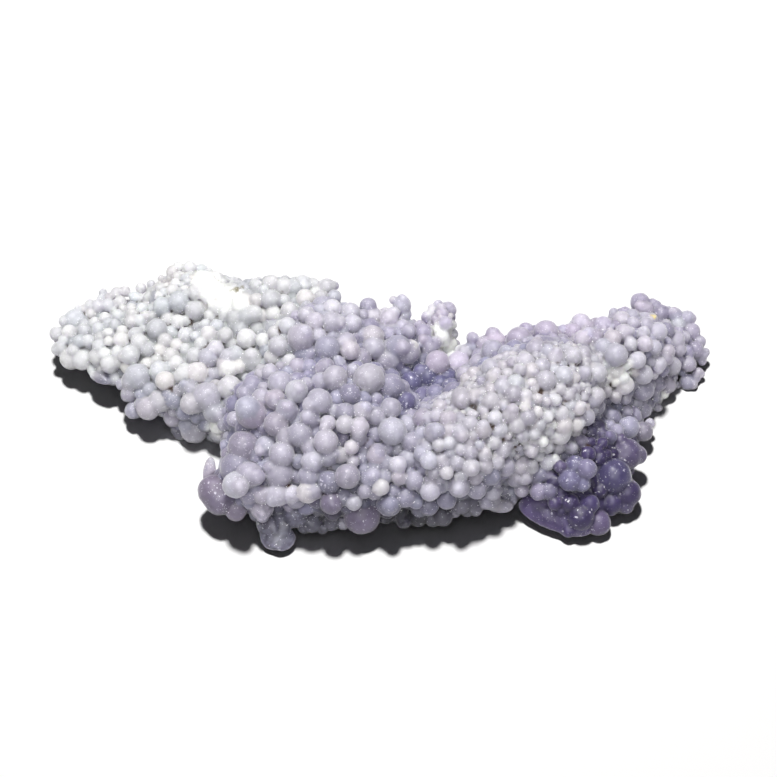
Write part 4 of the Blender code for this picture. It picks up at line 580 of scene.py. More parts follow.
    def skin(self):
        """Corners and triangles of the surface: one corner in each cell that it crosses."""
        inside = self.distance < 0
        corners = inside.astype(np.uint8)
        corners = corners[:-1] + corners[1:]
        corners = corners[:, :-1] + corners[:, 1:]
        corners = corners[:, :, :-1] + corners[:, :, 1:]
        crossed = (corners > 0) & (corners < 8)
        cell = np.stack(np.nonzero(crossed), axis=1)
        number = np.full(crossed.shape, -1, np.int32)
        number[crossed] = np.arange(len(cell), dtype=np.int32)
        value = {}
        for corner in np.ndindex(2, 2, 2):
            at = cell + corner
            value[corner] = self.distance[at[:, 0], at[:, 1], at[:, 2]]
        total, times = np.zeros((len(cell), 3)), np.zeros(len(cell))
        for first in value:
            for axis in range(3):
                if first[axis]:
                    continue
                second = tuple(1 if i == axis else c for i, c in enumerate(first))
                a, b = value[first], value[second]
                across = (a < 0) != (b < 0)
                share = np.where(across, a / np.where(across, a - b, 1.0), 0.0)
                place = np.tile(np.array(first, float), (len(cell), 1))
                place[:, axis] = share
                total += place * across[:, None]
                times += across
        points = self.low + CELL * (cell + total / times[:, None])
        quads = []
        for axis in range(3):
            b, c = (axis + 1) % 3, (axis + 2) % 3
            lower = [slice(None)] * 3
            upper = [slice(None)] * 3
            lower[axis], upper[axis] = slice(None, -1), slice(1, None)
            change = inside[tuple(lower)] != inside[tuple(upper)]
            edge = np.stack(np.nonzero(change), axis=1)
            out = inside[tuple(lower)][change]
            ring = []
            for db, dc in ((-1, -1), (0, -1), (0, 0), (-1, 0)):
                at = edge.copy()
                at[:, b] += db
                at[:, c] += dc
                ring.append(number[at[:, 0], at[:, 1], at[:, 2]])
            ring = np.stack(ring, axis=1)
            ring[~out] = ring[~out][:, ::-1]
            quads.append(ring)
        quads = np.concatenate(quads)
        first = np.linalg.norm(points[quads[:, 0]] - points[quads[:, 2]], axis=1)
        second = np.linalg.norm(points[quads[:, 1]] - points[quads[:, 3]], axis=1)
        short = (first <= second)[:, None]
        one = np.where(short, quads[:, [0, 1, 2]], quads[:, [0, 1, 3]])
        two = np.where(short, quads[:, [0, 2, 3]], quads[:, [1, 2, 3]])
        return points, np.concatenate([one, two])

    def read(self, values, points):
        """The grid's values at these points, weighted between the eight nodes round each."""
        at = (points - self.low) / CELL
        base = np.clip(np.floor(at).astype(np.int64), 0, np.array(self.count) - 2)
        part = np.clip(at - base, 0.0, 1.0)
        total = np.zeros(len(points))
        for corner in np.ndindex(2, 2, 2):
            weight = np.ones(len(points))
            for axis in range(3):
                weight *= part[:, axis] if corner[axis] else 1.0 - part[:, axis]
            total += weight * values[base[:, 0] + corner[0], base[:, 1] + corner[1], base[:, 2] + corner[2]]
        return total

    def settle(self, points, rounds=2):
        """Moves the corners on to the surface, and leaves those on the flat cut where they are."""
        loose = points[:, 2] > 0.5 * CELL
        moved = points[loose]
        step = 0.5 * CELL
        for _ in range(rounds):
            slope = np.stack([self.read(self.distance, moved + step * axis) - self.read(self.distance, moved - step * axis) for axis in np.eye(3)], axis=1)
            slope /= 2.0 * step
            length = np.maximum((slope**2).sum(axis=1), 0.25)
            move = -self.read(self.distance, moved)[:, None] * slope / length[:, None]
            far = np.maximum(np.linalg.norm(move, axis=1) / (0.45 * CELL), 1.0)
            moved = moved + move / far[:, None]
        points[loose] = moved
        points[:, 2] = np.maximum(points[:, 2], 0.0)
        return points


def outer_only(points, triangles):
    """The skin that reaches furthest, without the small closed ones sealed inside or loose outside."""
    label = np.arange(len(points))
    ends = np.concatenate([triangles[:, [0, 1]], triangles[:, [1, 2]]])
    while True:
        low = np.minimum(label[ends[:, 0]], label[ends[:, 1]])
        new = label.copy()
        np.minimum.at(new, label[ends[:, 0]], low)
        np.minimum.at(new, label[ends[:, 1]], low)
        while True:
            jumped = new[new]
            if (jumped == new).all():
                break
            new = jumped
        if (new == label).all():
            break
        label = new
    biggest = np.bincount(label).argmax()
    kept = label == biggest
    renumber = np.cumsum(kept) - 1
    return points[kept], renumber[triangles[kept[triangles[:, 0]]]]


def blurred(values, reach):
    """Mean over a box of reach cells each way, done three times over, so that it is nearly round."""
    for _ in range(3):
        for axis in range(3):
            pad = [(0, 0)] * 3
            pad[axis] = (reach + 1, reach)
            sums = np.cumsum(np.pad(values, pad), axis=axis, dtype=np.float32)
            hi, lo = [slice(None)] * 3, [slice(None)] * 3
            hi[axis], lo[axis] = slice(2 * reach + 1, None), slice(None, -2 * reach - 1)
            values = (sums[tuple(hi)] - sums[tuple(lo)]) / np.float32(2 * reach + 1)
    return values


def mesh_of(name, points, triangles):
    mesh = bpy.data.meshes.new(name)
    mesh.vertices.add(len(points))
    mesh.vertices.foreach_set("co", np.ascontiguousarray(points, np.float32).ravel())
    mesh.loops.add(triangles.size)
    mesh.loops.foreach_set("vertex_index", np.ascontiguousarray(triangles, np.int32).ravel())
    mesh.polygons.add(len(triangles))
    mesh.polygons.foreach_set("loop_start", np.arange(0, triangles.size, 3, dtype=np.int32))
    mesh.update(calc_edges=True)
    return mesh


# ---------------------------------------------------------------- the tones
# each kind of place has three tones, scene-linear: on the grapes that stand proud, on those half sunk in the mass,
# and on the mass between them, then how rough it is; the darker sunk and between tones are partly the stone's colour,
# partly painted shade
KINDS = {
    "lavender": ((0.485, 0.463, 0.53), (0.39, 0.372, 0.455), (0.295, 0.28, 0.40), 0.47),
    "pale": ((0.60, 0.578, 0.63), (0.52, 0.50, 0.58), (0.415, 0.398, 0.505), 0.47),
    "white": ((0.68, 0.68, 0.68), (0.57, 0.578, 0.60), (0.44, 0.45, 0.49), 0.60),
    "cream": ((0.66, 0.635, 0.625), (0.56, 0.54, 0.55), (0.41, 0.375, 0.37), 0.58),
    "fracture": ((0.97, 0.97, 0.96), (0.96, 0.96, 0.95), (0.90, 0.90, 0.89), 0.62),
    "ice": ((0.43, 0.42, 0.45), (0.35, 0.35, 0.41), (0.26, 0.26, 0.34), 0.48),
    "crest": ((0.585, 0.568, 0.60), (0.455, 0.438, 0.50), (0.34, 0.322, 0.40), 0.47),
    "pale_crest": ((0.68, 0.663, 0.68), (0.54, 0.525, 0.585), (0.40, 0.38, 0.46), 0.50),
    "pink": ((0.49, 0.43, 0.54), (0.41, 0.36, 0.48), (0.29, 0.25, 0.37), 0.50),
    "hollow": ((0.225, 0.21, 0.33), (0.175, 0.165, 0.285), (0.105, 0.10, 0.205), 0.42),
    "violet": ((0.088, 0.064, 0.170), (0.062, 0.045, 0.126), (0.040, 0.029, 0.084), 0.45),
    "plum": ((0.165, 0.132, 0.235), (0.125, 0.100, 0.185), (0.065, 0.052, 0.11), 0.40),
    "mauve": ((0.215, 0.172, 0.25), (0.16, 0.13, 0.195), (0.085, 0.072, 0.12), 0.44),
    "shade": ((0.25, 0.24, 0.305), (0.175, 0.17, 0.23), (0.11, 0.105, 0.16), 0.44),
    # under: painted shade, the dark tones of the undersides and of the row under the front rim
    "under": ((0.055, 0.053, 0.068), (0.04, 0.039, 0.052), (0.028, 0.027, 0.037), 0.44),
    "pit": ((0.11, 0.055, 0.035), (0.085, 0.045, 0.03), (0.05, 0.028, 0.02), 0.60),
    "grey": ((0.185, 0.180, 0.235), (0.14, 0.137, 0.185), (0.095, 0.092, 0.13), 0.36),
    # low: painted shade, darker tones for the low front grapes and the steep ridge front that the key leaves in shade
    "low": ((0.33, 0.315, 0.40), (0.22, 0.215, 0.295), (0.105, 0.10, 0.155), 0.44),
    "olive": ((0.26, 0.235, 0.15), (0.21, 0.19, 0.12), (0.16, 0.145, 0.09), 0.62),
    "gold": ((0.80, 0.66, 0.24), (0.80, 0.66, 0.24), (0.80, 0.66, 0.24), 0.40),
}

# across, down, reach (view units), how much, kind, and the height where it isn't on the mass: painted one over the other
ZONES = [
    (95, 340, 62, 1.0, "white"), (150, 320, 60, 1.0, "white"), (170, 360, 48, 1.0, "white"), (215, 300, 60, 1.0, "white"),
    (265, 305, 52, 0.95, "white"), (230, 345, 50, 0.95, "white"), (275, 345, 34, 0.65, "white"), (310, 300, 34, 0.75, "white"),
    (340, 290, 22, 0.4, "white"), (325, 318, 40, 0.9, "pale"), (392, 318, 30, 0.9, "pale"), (440, 310, 20, 1.0, "pale"), (436, 326, 28, 0.55, "pink"), (205, 385, 40, 0.4, "white"), (215, 364, 22, 0.8, "pale"), (190, 402, 26, 0.6, "pale"),
    (333, 318, 30, 0.9, "pale"), (333, 312, 24, 0.3, "white"), (212, 430, 22, 0.6, "pale"), (300, 462, 18, 0.35, "low"), (150, 398, 26, 0.5, "ice"), (205, 425, 34, 0.8, "ice"),
    (185, 400, 26, 0.8, "ice"), (225, 372, 26, 0.35, "ice"),
    (185, 268, 30, 1.0, "white"), (300, 284, 34, 0.85, "white"), (255, 282, 30, 0.9, "white"), (120, 290, 30, 0.9, "white"),
    (120, 292, 16, 0.6, "cream"), (168, 283, 18, 0.6, "cream"), (318, 290, 15, 0.45, "cream"),
    (182, 434, 16, 0.7, "grey"), (220, 426, 16, 0.85, "fracture"),
    (470, 400, 34, 0.7, "crest"), (505, 385, 42, 0.85, "crest"), (540, 400, 44, 0.9, "crest"), (575, 345, 26, 0.6, "crest"), (500, 430, 40, 0.8, "crest"),
    (460, 450, 34, 0.7, "crest"), (560, 370, 40, 0.75, "crest"), (600, 372, 40, 0.85, "crest"), (622, 372, 32, 0.9, "pale_crest"), (615, 371, 18, 0.8, "white"),
    (552, 436, 40, 0.9, "pale_crest"), (650, 328, 34, 0.4, "pale"), (600, 446, 19, 0.7, "plum", 8.0),
    (519, 339, 30, 0.75, "pink"), (550, 335, 30, 0.6, "pink"), (685, 340, 22, 0.45, "pink"), (490, 350, 20, 0.45, "pink"),
    (590, 330, 30, 0.5, "pink"), (640, 315, 26, 0.5, "pink"),
    (430, 388, 32, 0.95, "hollow"), (408, 374, 22, 0.8, "hollow"), (445, 378, 20, 0.9, "hollow"), (395, 395, 18, 0.4, "hollow"),
    # painted shade: the low front row and the steep front of the ridge take the shade and low tones
    (340, 502, 36, 0.9, "shade"), (395, 500, 30, 0.6, "shade"), (610, 412, 28, 0.7, "low"), (592, 432, 20, 0.8, "low"), (640, 392, 24, 0.5, "low"),
    (660, 395, 26, 0.5, "shade"), (450, 500, 30, 0.5, "shade"), (690, 355, 18, 0.15, "shade"),
    (606, 476, 56, 1.0, "violet", 7.0), (575, 500, 46, 1.0, "violet", 6.0), (545, 512, 34, 1.0, "violet", 4.0),
    (628, 455, 34, 0.9, "violet", 7.0), (605, 520, 30, 1.0, "violet", 3.0),
    (632, 452, 24, 0.95, "plum", 7.0), (545, 512, 24, 0.2, "plum", 4.0), (572, 478, 15, 0.7, "plum", 8.0), (575, 512, 14, 0.8, "violet", 6.0),
    # painted shade: the low front grapes and those deep between their chains take the darker low tones
    (370, 452, 20, 0.35, "low"), (385, 470, 16, 0.35, "low"), (237, 462, 16, 0.5, "low"), (345, 508, 22, 0.5, "low"),
    (330, 483, 15, 0.8, "low"), (334, 503, 17, 0.8, "low"), (350, 394, 9, 0.8, "low"), (300, 436, 11, 0.6, "low"),
    (345, 413, 9, 0.6, "low"), (476, 489, 20, 0.75, "low"), (493, 477, 18, 0.7, "low"), (459, 491, 20, 0.55, "low"),
    (440, 501, 24, 0.8, "low"), (502, 491, 18, 0.75, "low"), (418, 501, 24, 0.8, "low"), (398, 499, 22, 0.7, "low"),
    (295, 520, 17, 0.9, "shade"), (258, 511, 17, 0.9, "shade"), (278, 509, 12, 0.7, "shade"),
    (216, 494, 26, 0.8, "mauve"), (362, 518, 22, 0.7, "mauve"), (235, 520, 22, 0.7, "mauve"), (331, 505, 20, 0.6, "mauve"),
    (240, 445, 22, 0.4, "mauve"), (250, 413, 18, 0.35, "pink"),
    # painted shade: the row of grapes under the front rim takes the dark under tones
    (276, 534, 26, 1.0, "grey", 3.0), (400, 521, 26, 0.95, "under", 2.8), (436, 517, 20, 0.8, "under", 3.0),
    (322, 526, 22, 0.7, "under", 2.4), (470, 508, 16, 0.6, "under", 3.6), (500, 504, 14, 0.5, "under", 3.6),
    (618, 371, 17, 0.62, "fracture"), (196, 268, 24, 0.14, "fracture"), (300, 282, 26, 0.12, "fracture"), (434, 312, 13, 0.6, "fracture"), (446, 338, 23, 0.95, "fracture"), (104, 381, 15, 0.9, "grey"),
    (206, 283, 17, 1.0, "fracture"), (216, 296, 20, 1.0, "fracture"), (232, 302, 18, 1.0, "fracture"), (243, 306, 13, 1.0, "fracture"),
]


# small brown pits and stains between the grapes: across, down, reach (view units)
PITS = [
    (473, 408, 4), (492, 427, 4), (505, 437, 5), (518, 448, 5), (354, 505, 3), (308, 494, 3), (309, 474, 3), (289, 483, 5),
    (397, 332, 4), (300, 434, 4), (366, 440, 5), (372, 447, 4), (232, 290, 6), (285, 292, 5), (190, 322, 4), (148, 347, 4),
    (560, 361, 3), (566, 402, 4), (540, 392, 4), (553, 383, 3), (340, 465, 4), (330, 469, 3), (281, 330, 4), (205, 345, 4),
    (170, 389, 4), (254, 300, 4), (462, 362, 3), (612, 385, 3), (577, 363, 3), (588, 444, 3), (437, 424, 3), (250, 397, 4),
]

# specks: a bright gold-yellow speck at the ridge end, dark grit on the broken face: across, down, reach (view units),
# kind
SPECKS = [(654.5, 316.5, 2.4, "gold"), (237, 289.5, 3.2, "olive"), (230, 292, 2.0, "olive"), (243, 287, 1.8, "olive")]

# grapes with a tone of their own: across, down, how much, kind
# those given the low and shade tones here carry painted shade
SINGLE = [
    (369, 378.5, 0.2, "cream"), (411.7, 346.5, 0.8, "cream"), (251, 413.5, 0.5, "pink"), (235.4, 485, 0.2, "cream"),
    (516, 383, 0.6, "white"), (629.6, 372.8, 0.9, "white"), (543.4, 441.6, 0.6, "white"), (553.3, 425.8, 0.5, "white"),
    (525, 406.5, 0.7, "cream"), (137.5, 376.5, 0.3, "ice"), (165, 380.8, 0.8, "cream"), (127, 367.5, 0.7, "cream"),
    (228.3, 368.3, 0.7, "fracture"), (239, 366.5, 0.3, "fracture"), (225.4, 335, 0.3, "cream"), (217.5, 427, 0.9, "fracture"), (182.5, 435.5, 0.8, "grey"),
    (341, 462, 0.4, "cream"), (345, 424.5, 0.3, "cream"), (354, 502.3, 0.7, "pale"), (380.8, 487.3, 0.6, "pale"),
    (397.5, 465, 0.4, "pale"), (531.7, 466.7, 0.5, "pale_crest"), (667, 400, 0.9, "fracture"), (677, 324, 0.3, "fracture"), (688, 382.5, 0.6, "low"),
    (616, 355, 1.0, "pale"), (630.8, 344, 0.8, "pale"), (637.5, 360, 0.8, "lavender"), (388, 346, 0.4, "pale"), (372.5, 336.7, 0.4, "cream"), (350.4, 312, 0.4, "pale"), (389, 318, 0.5, "pale"),
    (374, 347.5, 0.5, "pale"), (350, 350, 0.4, "pale"), (335, 377.5, 0.5, "pale"), (296.7, 391, 0.5, "pale"),
    (392.5, 431, 0.4, "pale"), (362, 516, 0.6, "mauve"), (613.5, 476.5, 0.25, "hollow"), (626, 454, 0.3, "plum"),
    (586.7, 469, 1.0, "hollow"), (581.5, 483.3, 1.0, "hollow"), (570, 480, 0.75, "hollow"), (574.5, 465, 0.8, "hollow"),
    (629, 427, 0.85, "low"), (643, 431.5, 0.8, "shade"), (617, 430.5, 0.8, "low"), (610, 437, 0.6, "low"), (598, 523, 0.8, "plum"),
    (425, 398, 0.8, "hollow"), (406, 401, 0.9, "hollow"), (411, 382, 1.0, "hollow"), (391, 386, 0.6, "low"), (428, 377, 1.0, "hollow"),
    (424, 408, 0.6, "hollow"), (437.5, 362.5, 0.5, "pink"), (458.3, 363.3, 0.6, "pink"), (539, 491.7, 0.6, "low"), (549, 491, 0.5, "low"),
    (308, 492.5, 0.5, "cream"), (380.8, 487.3, 0.4, "cream"), (331.5, 503, 0.4, "mauve"), (654.5, 316, 0.7, "cream"),
]


def smooth(low, high, x):
    t = np.clip((x - low) / (high - low), 0.0, 1.0)
    return t * t * (3.0 - 2.0 * t)


def grains(points, scale, seed):
    """A smooth uneven value from -1 to 1 at each point, with features of about scale mm."""
    total = np.zeros(len(points))
    rng = np.random.default_rng(seed)
    for octave in range(5):
        way = rng.normal(size=3)
        way *= 2.0 * math.pi / (scale * (0.7 + 0.5 * rng.random())) / np.linalg.norm(way)
        other = rng.normal(size=3)
        other *= math.pi / scale / np.linalg.norm(other)
        total += np.sin(points @ way + 6.3 * rng.random() + 1.3 * np.sin(points @ other + 6.3 * rng.random()))
    return total / 3.2


def tones(points, normals, mass, grapes, cavity, recess, proud):
    """Colour with painted shade in it, roughness, and the amounts of painted glints at each point of the skin."""
    kinds = {name: np.array(list(kind[0]) + list(kind[1]) + list(kind[2]) + [kind[3]]) for name, kind in KINDS.items()}

    def zoned(places, state, only):
        for across, down, reach, much, kind, *z in ZONES:
            if (kind in ("fracture", "grey")) != only:
                continue
            eye, way = sight(across, down)
            middle = at_height(across, down, z[0]) if z else eye + way * nearest_hit(mass, eye, way)
            reach = reach * VIEW_UNIT
            off = np.linalg.norm(places - middle, axis=1) + 0.10 * reach * grains(places, 5.0, 3)
            amount = (much * (1.0 - smooth(0.62 * reach, 1.08 * reach, off)))[:, None]
            state = state * (1.0 - amount) + kinds[kind] * amount
        return state

    # each grape has a tone of its own
    tree = KDTree(len(grapes))
    for number, (middle, *_) in enumerate(grapes):
        tree.insert(middle, number)
    tree.balance()
    radii = np.array([g[1] for g in grapes])
    nearest = np.array([min((found[2] - radii[found[1]], found[1]) for found in tree.find_n(p, 9)) for p in points])
    gap, owner = nearest[:, 0], nearest[:, 1].astype(int)
    rng = np.random.default_rng(11)
    light = rng.normal(0.0, 1.0, len(grapes))
    hue = rng.normal(0.0, 1.0, len(grapes))
    milk = rng.random(len(grapes))
    heights = (-0.3, 0.1, 0.55, 0.9, 1.2)
    level = np.interp([g[3] for g in grapes], heights, (0.08, 0.24, 0.54, 0.84, 1.0))
    group = np.array([g[2] for g in grapes])
    level = np.where(group < 2, np.interp([g[3] for g in grapes], heights, (0.2, 0.42, 0.66, 0.86, 1.0)), level)
    level = np.where(group == 5, np.interp([g[3] for g in grapes], heights, (0.12, 0.34, 0.67, 0.88, 1.0)), level) + 0.07 * light
    on_grape = smooth(0.50, 0.12, gap)

    middles = np.array([g[0] for g in grapes])
    plain = np.tile(kinds["lavender"], (len(grapes), 1))
    own = zoned(middles, plain, False)
    places = [grape[:2] for group in (WING, WING_BACK, CENTRE, PILLAR, RIDGE_BACK, RIDGE, RIDGE_END, FRONT, FRONT_LEFT, LOBE) for grape in group]
    places = np.array(places)
    for across, down, much, kind in SINGLE:
        number = ((places - (across, down)) ** 2).sum(axis=1).argmin()
        own[number] = own[number] * (1.0 - much) + kinds[kind] * much
    state = zoned(points, np.tile(kinds["lavender"], (len(points), 1)), False)
    state = state + (own[owner] - state) * on_grape[:, None]
    state = zoned(points, state, True)

    def in_sight(across, down, reach):
        """How far each point is from a line of sight, in reaches, where it lies on the first surface that the line meets."""
        eye, way = sight(across, down)
        along = (points - eye) @ way
        beside = np.linalg.norm(points - eye - along[:, None] * way, axis=1) / (reach * VIEW_UNIT)
        met = (beside < 1.3) & (normals @ way < 0.2)
        first = along[met].min() if met.any() else 0.0
        return np.where(met & (along < first + 2.5), beside, 9.0)

    for across, down, reach in PITS:
        amount = ((1.0 - smooth(0.6, 1.3, in_sight(across, down, reach))) * smooth(0.50, 0.66, cavity))[:, None]
        state = state * (1.0 - amount) + kinds["pit"] * amount
    for across, down, reach, kind in SPECKS:
        amount = (1.0 - smooth(0.6, 1.3, in_sight(across, down, reach) + 0.3 * grains(points, 1.0, 17)))[:, None]
        state = state * (1.0 - amount) + kinds[kind] * amount
    # painted shade: the undersides and the low rims are blended towards the dark under tones, the more they face down
    # and the nearer they lie to the floor
    low = (smooth(0.15, -0.70, normals[:, 2]) * smooth(11.0, 4.0, points[:, 2]) * 0.9)[:, None]
    state = state * (1.0 - low) + kinds["under"] * low

    top, middle, deep = state[:, 0:3], state[:, 3:6], state[:, 6:9]
    # the further a grape stands out of the mass, the paler it is, and the lower on its grape a point lies, the darker:
    # partly the stone's own colour, partly painted shade in the recesses and at the foot of each grape; the chips are
    # as pale as the grapes
    chip = np.zeros(len(points))
    for centre, half, axes in scales(mass):
        chip = np.maximum(chip, smooth(1.25, 1.02, np.linalg.norm((points - centre) @ axes / half, axis=1)))
    stands = np.maximum(on_grape * (0.80 + 0.20 * smooth(-0.2, 1.3, proud)) * level[owner], 0.8 * chip) + 0.04 * grains(points, 4.0, 9)
    colour = deep + (middle - deep) * np.clip(stands / 0.5, 0.0, 1.0)[:, None]
    colour = colour + (top - colour) * np.clip(stands / 0.5 - 1.0, 0.0, 1.0)[:, None]
    colour *= (1.0 + 0.055 * light[owner])[:, None]
    warm = (0.012 * hue[owner])[:, None] * np.array([1.0, -0.2, -0.9])
    colour *= 1.0 + warm
    crease = smooth(0.60, 0.84, cavity)
    whiter = (0.20 * smooth(0.86, 0.98, milk[owner]) * (1.0 - crease) * smooth(0.15, 0.4, middle[:, 0]))[:, None]
    colour = colour + (np.array([0.80, 0.78, 0.76]) - colour) * whiter
    # thin dark lines where grapes meet: painted shade in the creases, tinted brown as a stain between the pale ones
    brown = smooth(0.35, 0.65, middle[:, 0])[:, None]
    line = colour * (0.46 - 0.24 * brown) * (1.0 + brown * np.array([0.12, -0.14, -0.24]))
    much = (crease * (0.26 + 0.62 * smooth(-0.1, 0.6, grains(points, 7.0, 13))))[:, None]
    colour = colour + (line - colour) * much
    colour *= (1.0 + 0.04 * grains(points, 1.6, 5) + 0.03 * grains(points, 6.0, 6))[:, None]
    # painted light: the deepest recesses are painted a little lighter, a fill against the shade that falls in them
    colour *= (1.0 + 0.05 * smooth(0.60, 0.80, recess))[:, None]
    # growth rings show on the broken chip in front
    hub = at_height(262, 524, 4.6)
    ringed = smooth(7.6, 6.6, np.linalg.norm(points - at_height(276, 533, 3.0), axis=1)) * (points[:, 1] < at_height(276, 522, 3.0)[1])
    colour *= (1.0 + 0.30 * ringed * np.sin(np.linalg.norm(points - hub, axis=1) * 9.0 + grains(points, 3.0, 15)))[:, None]
    # painted glints: how much of the fine crystal points is painted near-white, more in the creases and on the darker
    # stone
    sparkle = (0.35 + 0.65 * smooth(0.45, 0.62, cavity)) * (0.28 + 0.72 * smooth(0.04, 0.22, colour.mean(axis=1)))
    colour *= 0.75
    # painted glints: crystal faces turned up towards the key are painted near-white, more in the darker stone than in
    # the milky one
    flash = smooth(0.05, 0.75, normals @ np.array([0.0, -0.25, 0.97])) * (1.0 - 0.68 * smooth(0.12, 0.36, middle[:, 0]))
    return np.clip(colour, 0.01, 0.97), np.clip(state[:, 9] + 0.03 * light[owner], 0.12, 0.7), sparkle, flash


# ---------------------------------------------------------------- the material
def chalcedony():
    stone = bpy.data.materials.new("chalcedony")
    stone.use_nodes = True
    nodes, links = stone.node_tree.nodes, stone.node_tree.links
    shader = nodes["Principled BSDF"]

    def node(kind, **values):
        made = nodes.new(kind)
        for name, value in values.items():
            if name in made.inputs:
                made.inputs[name].default_value = value
            else:
                setattr(made, name, value)
        return made

    place = node("ShaderNodeTexCoord")
    tone = node("ShaderNodeAttribute", attribute_name="tone")
    rough_and_glints = node("ShaderNodeAttribute", attribute_name="rough_and_glints")
    parts = node("ShaderNodeSeparateXYZ")
    links.new(rough_and_glints.outputs["Vector"], parts.inputs[0])

    # milky mottling inside each grape
    cloud = node("ShaderNodeTexNoise")
    cloud.inputs["Scale"].default_value = 900.0
    cloud.inputs["Detail"].default_value = 4.0
    cloud.inputs["Roughness"].default_value = 0.6
    links.new(place.outputs["Object"], cloud.inputs["Vector"])
    shade = node("ShaderNodeMapRange")
    for name, value in (("From Min", 0.3), ("From Max", 0.7), ("To Min", 0.90), ("To Max", 1.08)):
        shade.inputs[name].default_value = value
    links.new(cloud.outputs["Fac"], shade.inputs["Value"])
    mottled = node("ShaderNodeVectorMath", operation="SCALE")
    links.new(tone.outputs["Color"], mottled.inputs[0])
    links.new(shade.outputs["Result"], mottled.inputs["Scale"])

    # the druse, painted: near-white glints in the base colour, specks on a fine crust of crystal points and larger ones
    # where the faces turn to the key; the crystal points also bump the surface
    crystals = node("ShaderNodeTexVoronoi")
    crystals.inputs["Scale"].default_value = 6000.0
    crystals.inputs["Randomness"].default_value = 1.0
    links.new(place.outputs["Object"], crystals.inputs["Vector"])
    pick = node("ShaderNodeSeparateColor")
    links.new(crystals.outputs["Color"], pick.inputs["Color"])
    spark = node("ShaderNodeMapRange")
    for name, value in (("From Min", 0.965), ("From Max", 0.99), ("To Min", 0.0), ("To Max", 1.0)):
        spark.inputs[name].default_value = value
    links.new(pick.outputs["Red"], spark.inputs["Value"])
    fine = node("ShaderNodeMath", operation="MULTIPLY")
    links.new(spark.outputs["Result"], fine.inputs[0])
    links.new(parts.outputs["Y"], fine.inputs[1])
    faces = node("ShaderNodeTexVoronoi")
    faces.inputs["Scale"].default_value = 2900.0
    links.new(place.outputs["Object"], faces.inputs["Vector"])
    choice = node("ShaderNodeSeparateColor")
    links.new(faces.outputs["Color"], choice.inputs["Color"])
    bright = node("ShaderNodeMapRange")
    for name, value in (("From Min", 0.982), ("From Max", 0.990), ("To Min", 0.0), ("To Max", 0.42)):
        bright.inputs[name].default_value = value
    links.new(choice.outputs["Green"], bright.inputs["Value"])
    flash = node("ShaderNodeMath", operation="MULTIPLY")
    links.new(bright.outputs["Result"], flash.inputs[0])
    links.new(parts.outputs["Z"], flash.inputs[1])
    glint = node("ShaderNodeMath", operation="MAXIMUM")
    links.new(fine.outputs[0], glint.inputs[0])
    links.new(flash.outputs[0], glint.inputs[1])
    # the glints are painted into the base colour as near-white
    lit = node("ShaderNodeMix", data_type="RGBA")
    lit.inputs[7].default_value = (0.97, 0.96, 1.0, 1.0)
    links.new(glint.outputs[0], lit.inputs[0])
    links.new(mottled.outputs[0], lit.inputs[6])
    links.new(lit.outputs[2], shader.inputs["Base Color"])

    grain = node("ShaderNodeTexNoise")
    grain.inputs["Scale"].default_value = 2600.0
    grain.inputs["Detail"].default_value = 3.0
    grain.inputs["Roughness"].default_value = 0.65
    links.new(place.outputs["Object"], grain.inputs["Vector"])
    height = node("ShaderNodeMath", operation="ADD")
    facet = node("ShaderNodeMath", operation="MULTIPLY")
    facet.inputs[1].default_value = 0.8
    links.new(pick.outputs["Green"], facet.inputs[0])
    links.new(facet.outputs[0], height.inputs[0])
    links.new(grain.outputs["Fac"], height.inputs[1])
    bump = node("ShaderNodeBump")
    bump.inputs["Strength"].default_value = 0.30
    bump.inputs["Distance"].default_value = 0.00006
    links.new(height.outputs[0], bump.inputs["Height"])
    links.new(bump.outputs["Normal"], shader.inputs["Normal"])

    rough = node("ShaderNodeMath", operation="ADD")
    vary = node("ShaderNodeMapRange")
    for name, value in (("From Min", 0.3), ("From Max", 0.7), ("To Min", -0.05), ("To Max", 0.07)):
        vary.inputs[name].default_value = value
    links.new(grain.outputs["Fac"], vary.inputs["Value"])
    links.new(parts.outputs["X"], rough.inputs[0])
    links.new(vary.outputs["Result"], rough.inputs[1])
    links.new(rough.outputs[0], shader.inputs["Roughness"])

    shader.subsurface_method = "RANDOM_WALK"
    shader.inputs["Subsurface Weight"].default_value = 1.0
    shader.inputs["Subsurface Radius"].default_value = (1.0, 0.92, 1.1)
    shader.inputs["Subsurface Scale"].default_value = 0.0048
    shader.inputs["IOR"].default_value = 1.54
    shader.inputs["Specular IOR Level"].default_value = 0.4
    shader.inputs["Sheen Weight"].default_value = 0.35
    shader.inputs["Sheen Roughness"].default_value = 0.35
    return stone


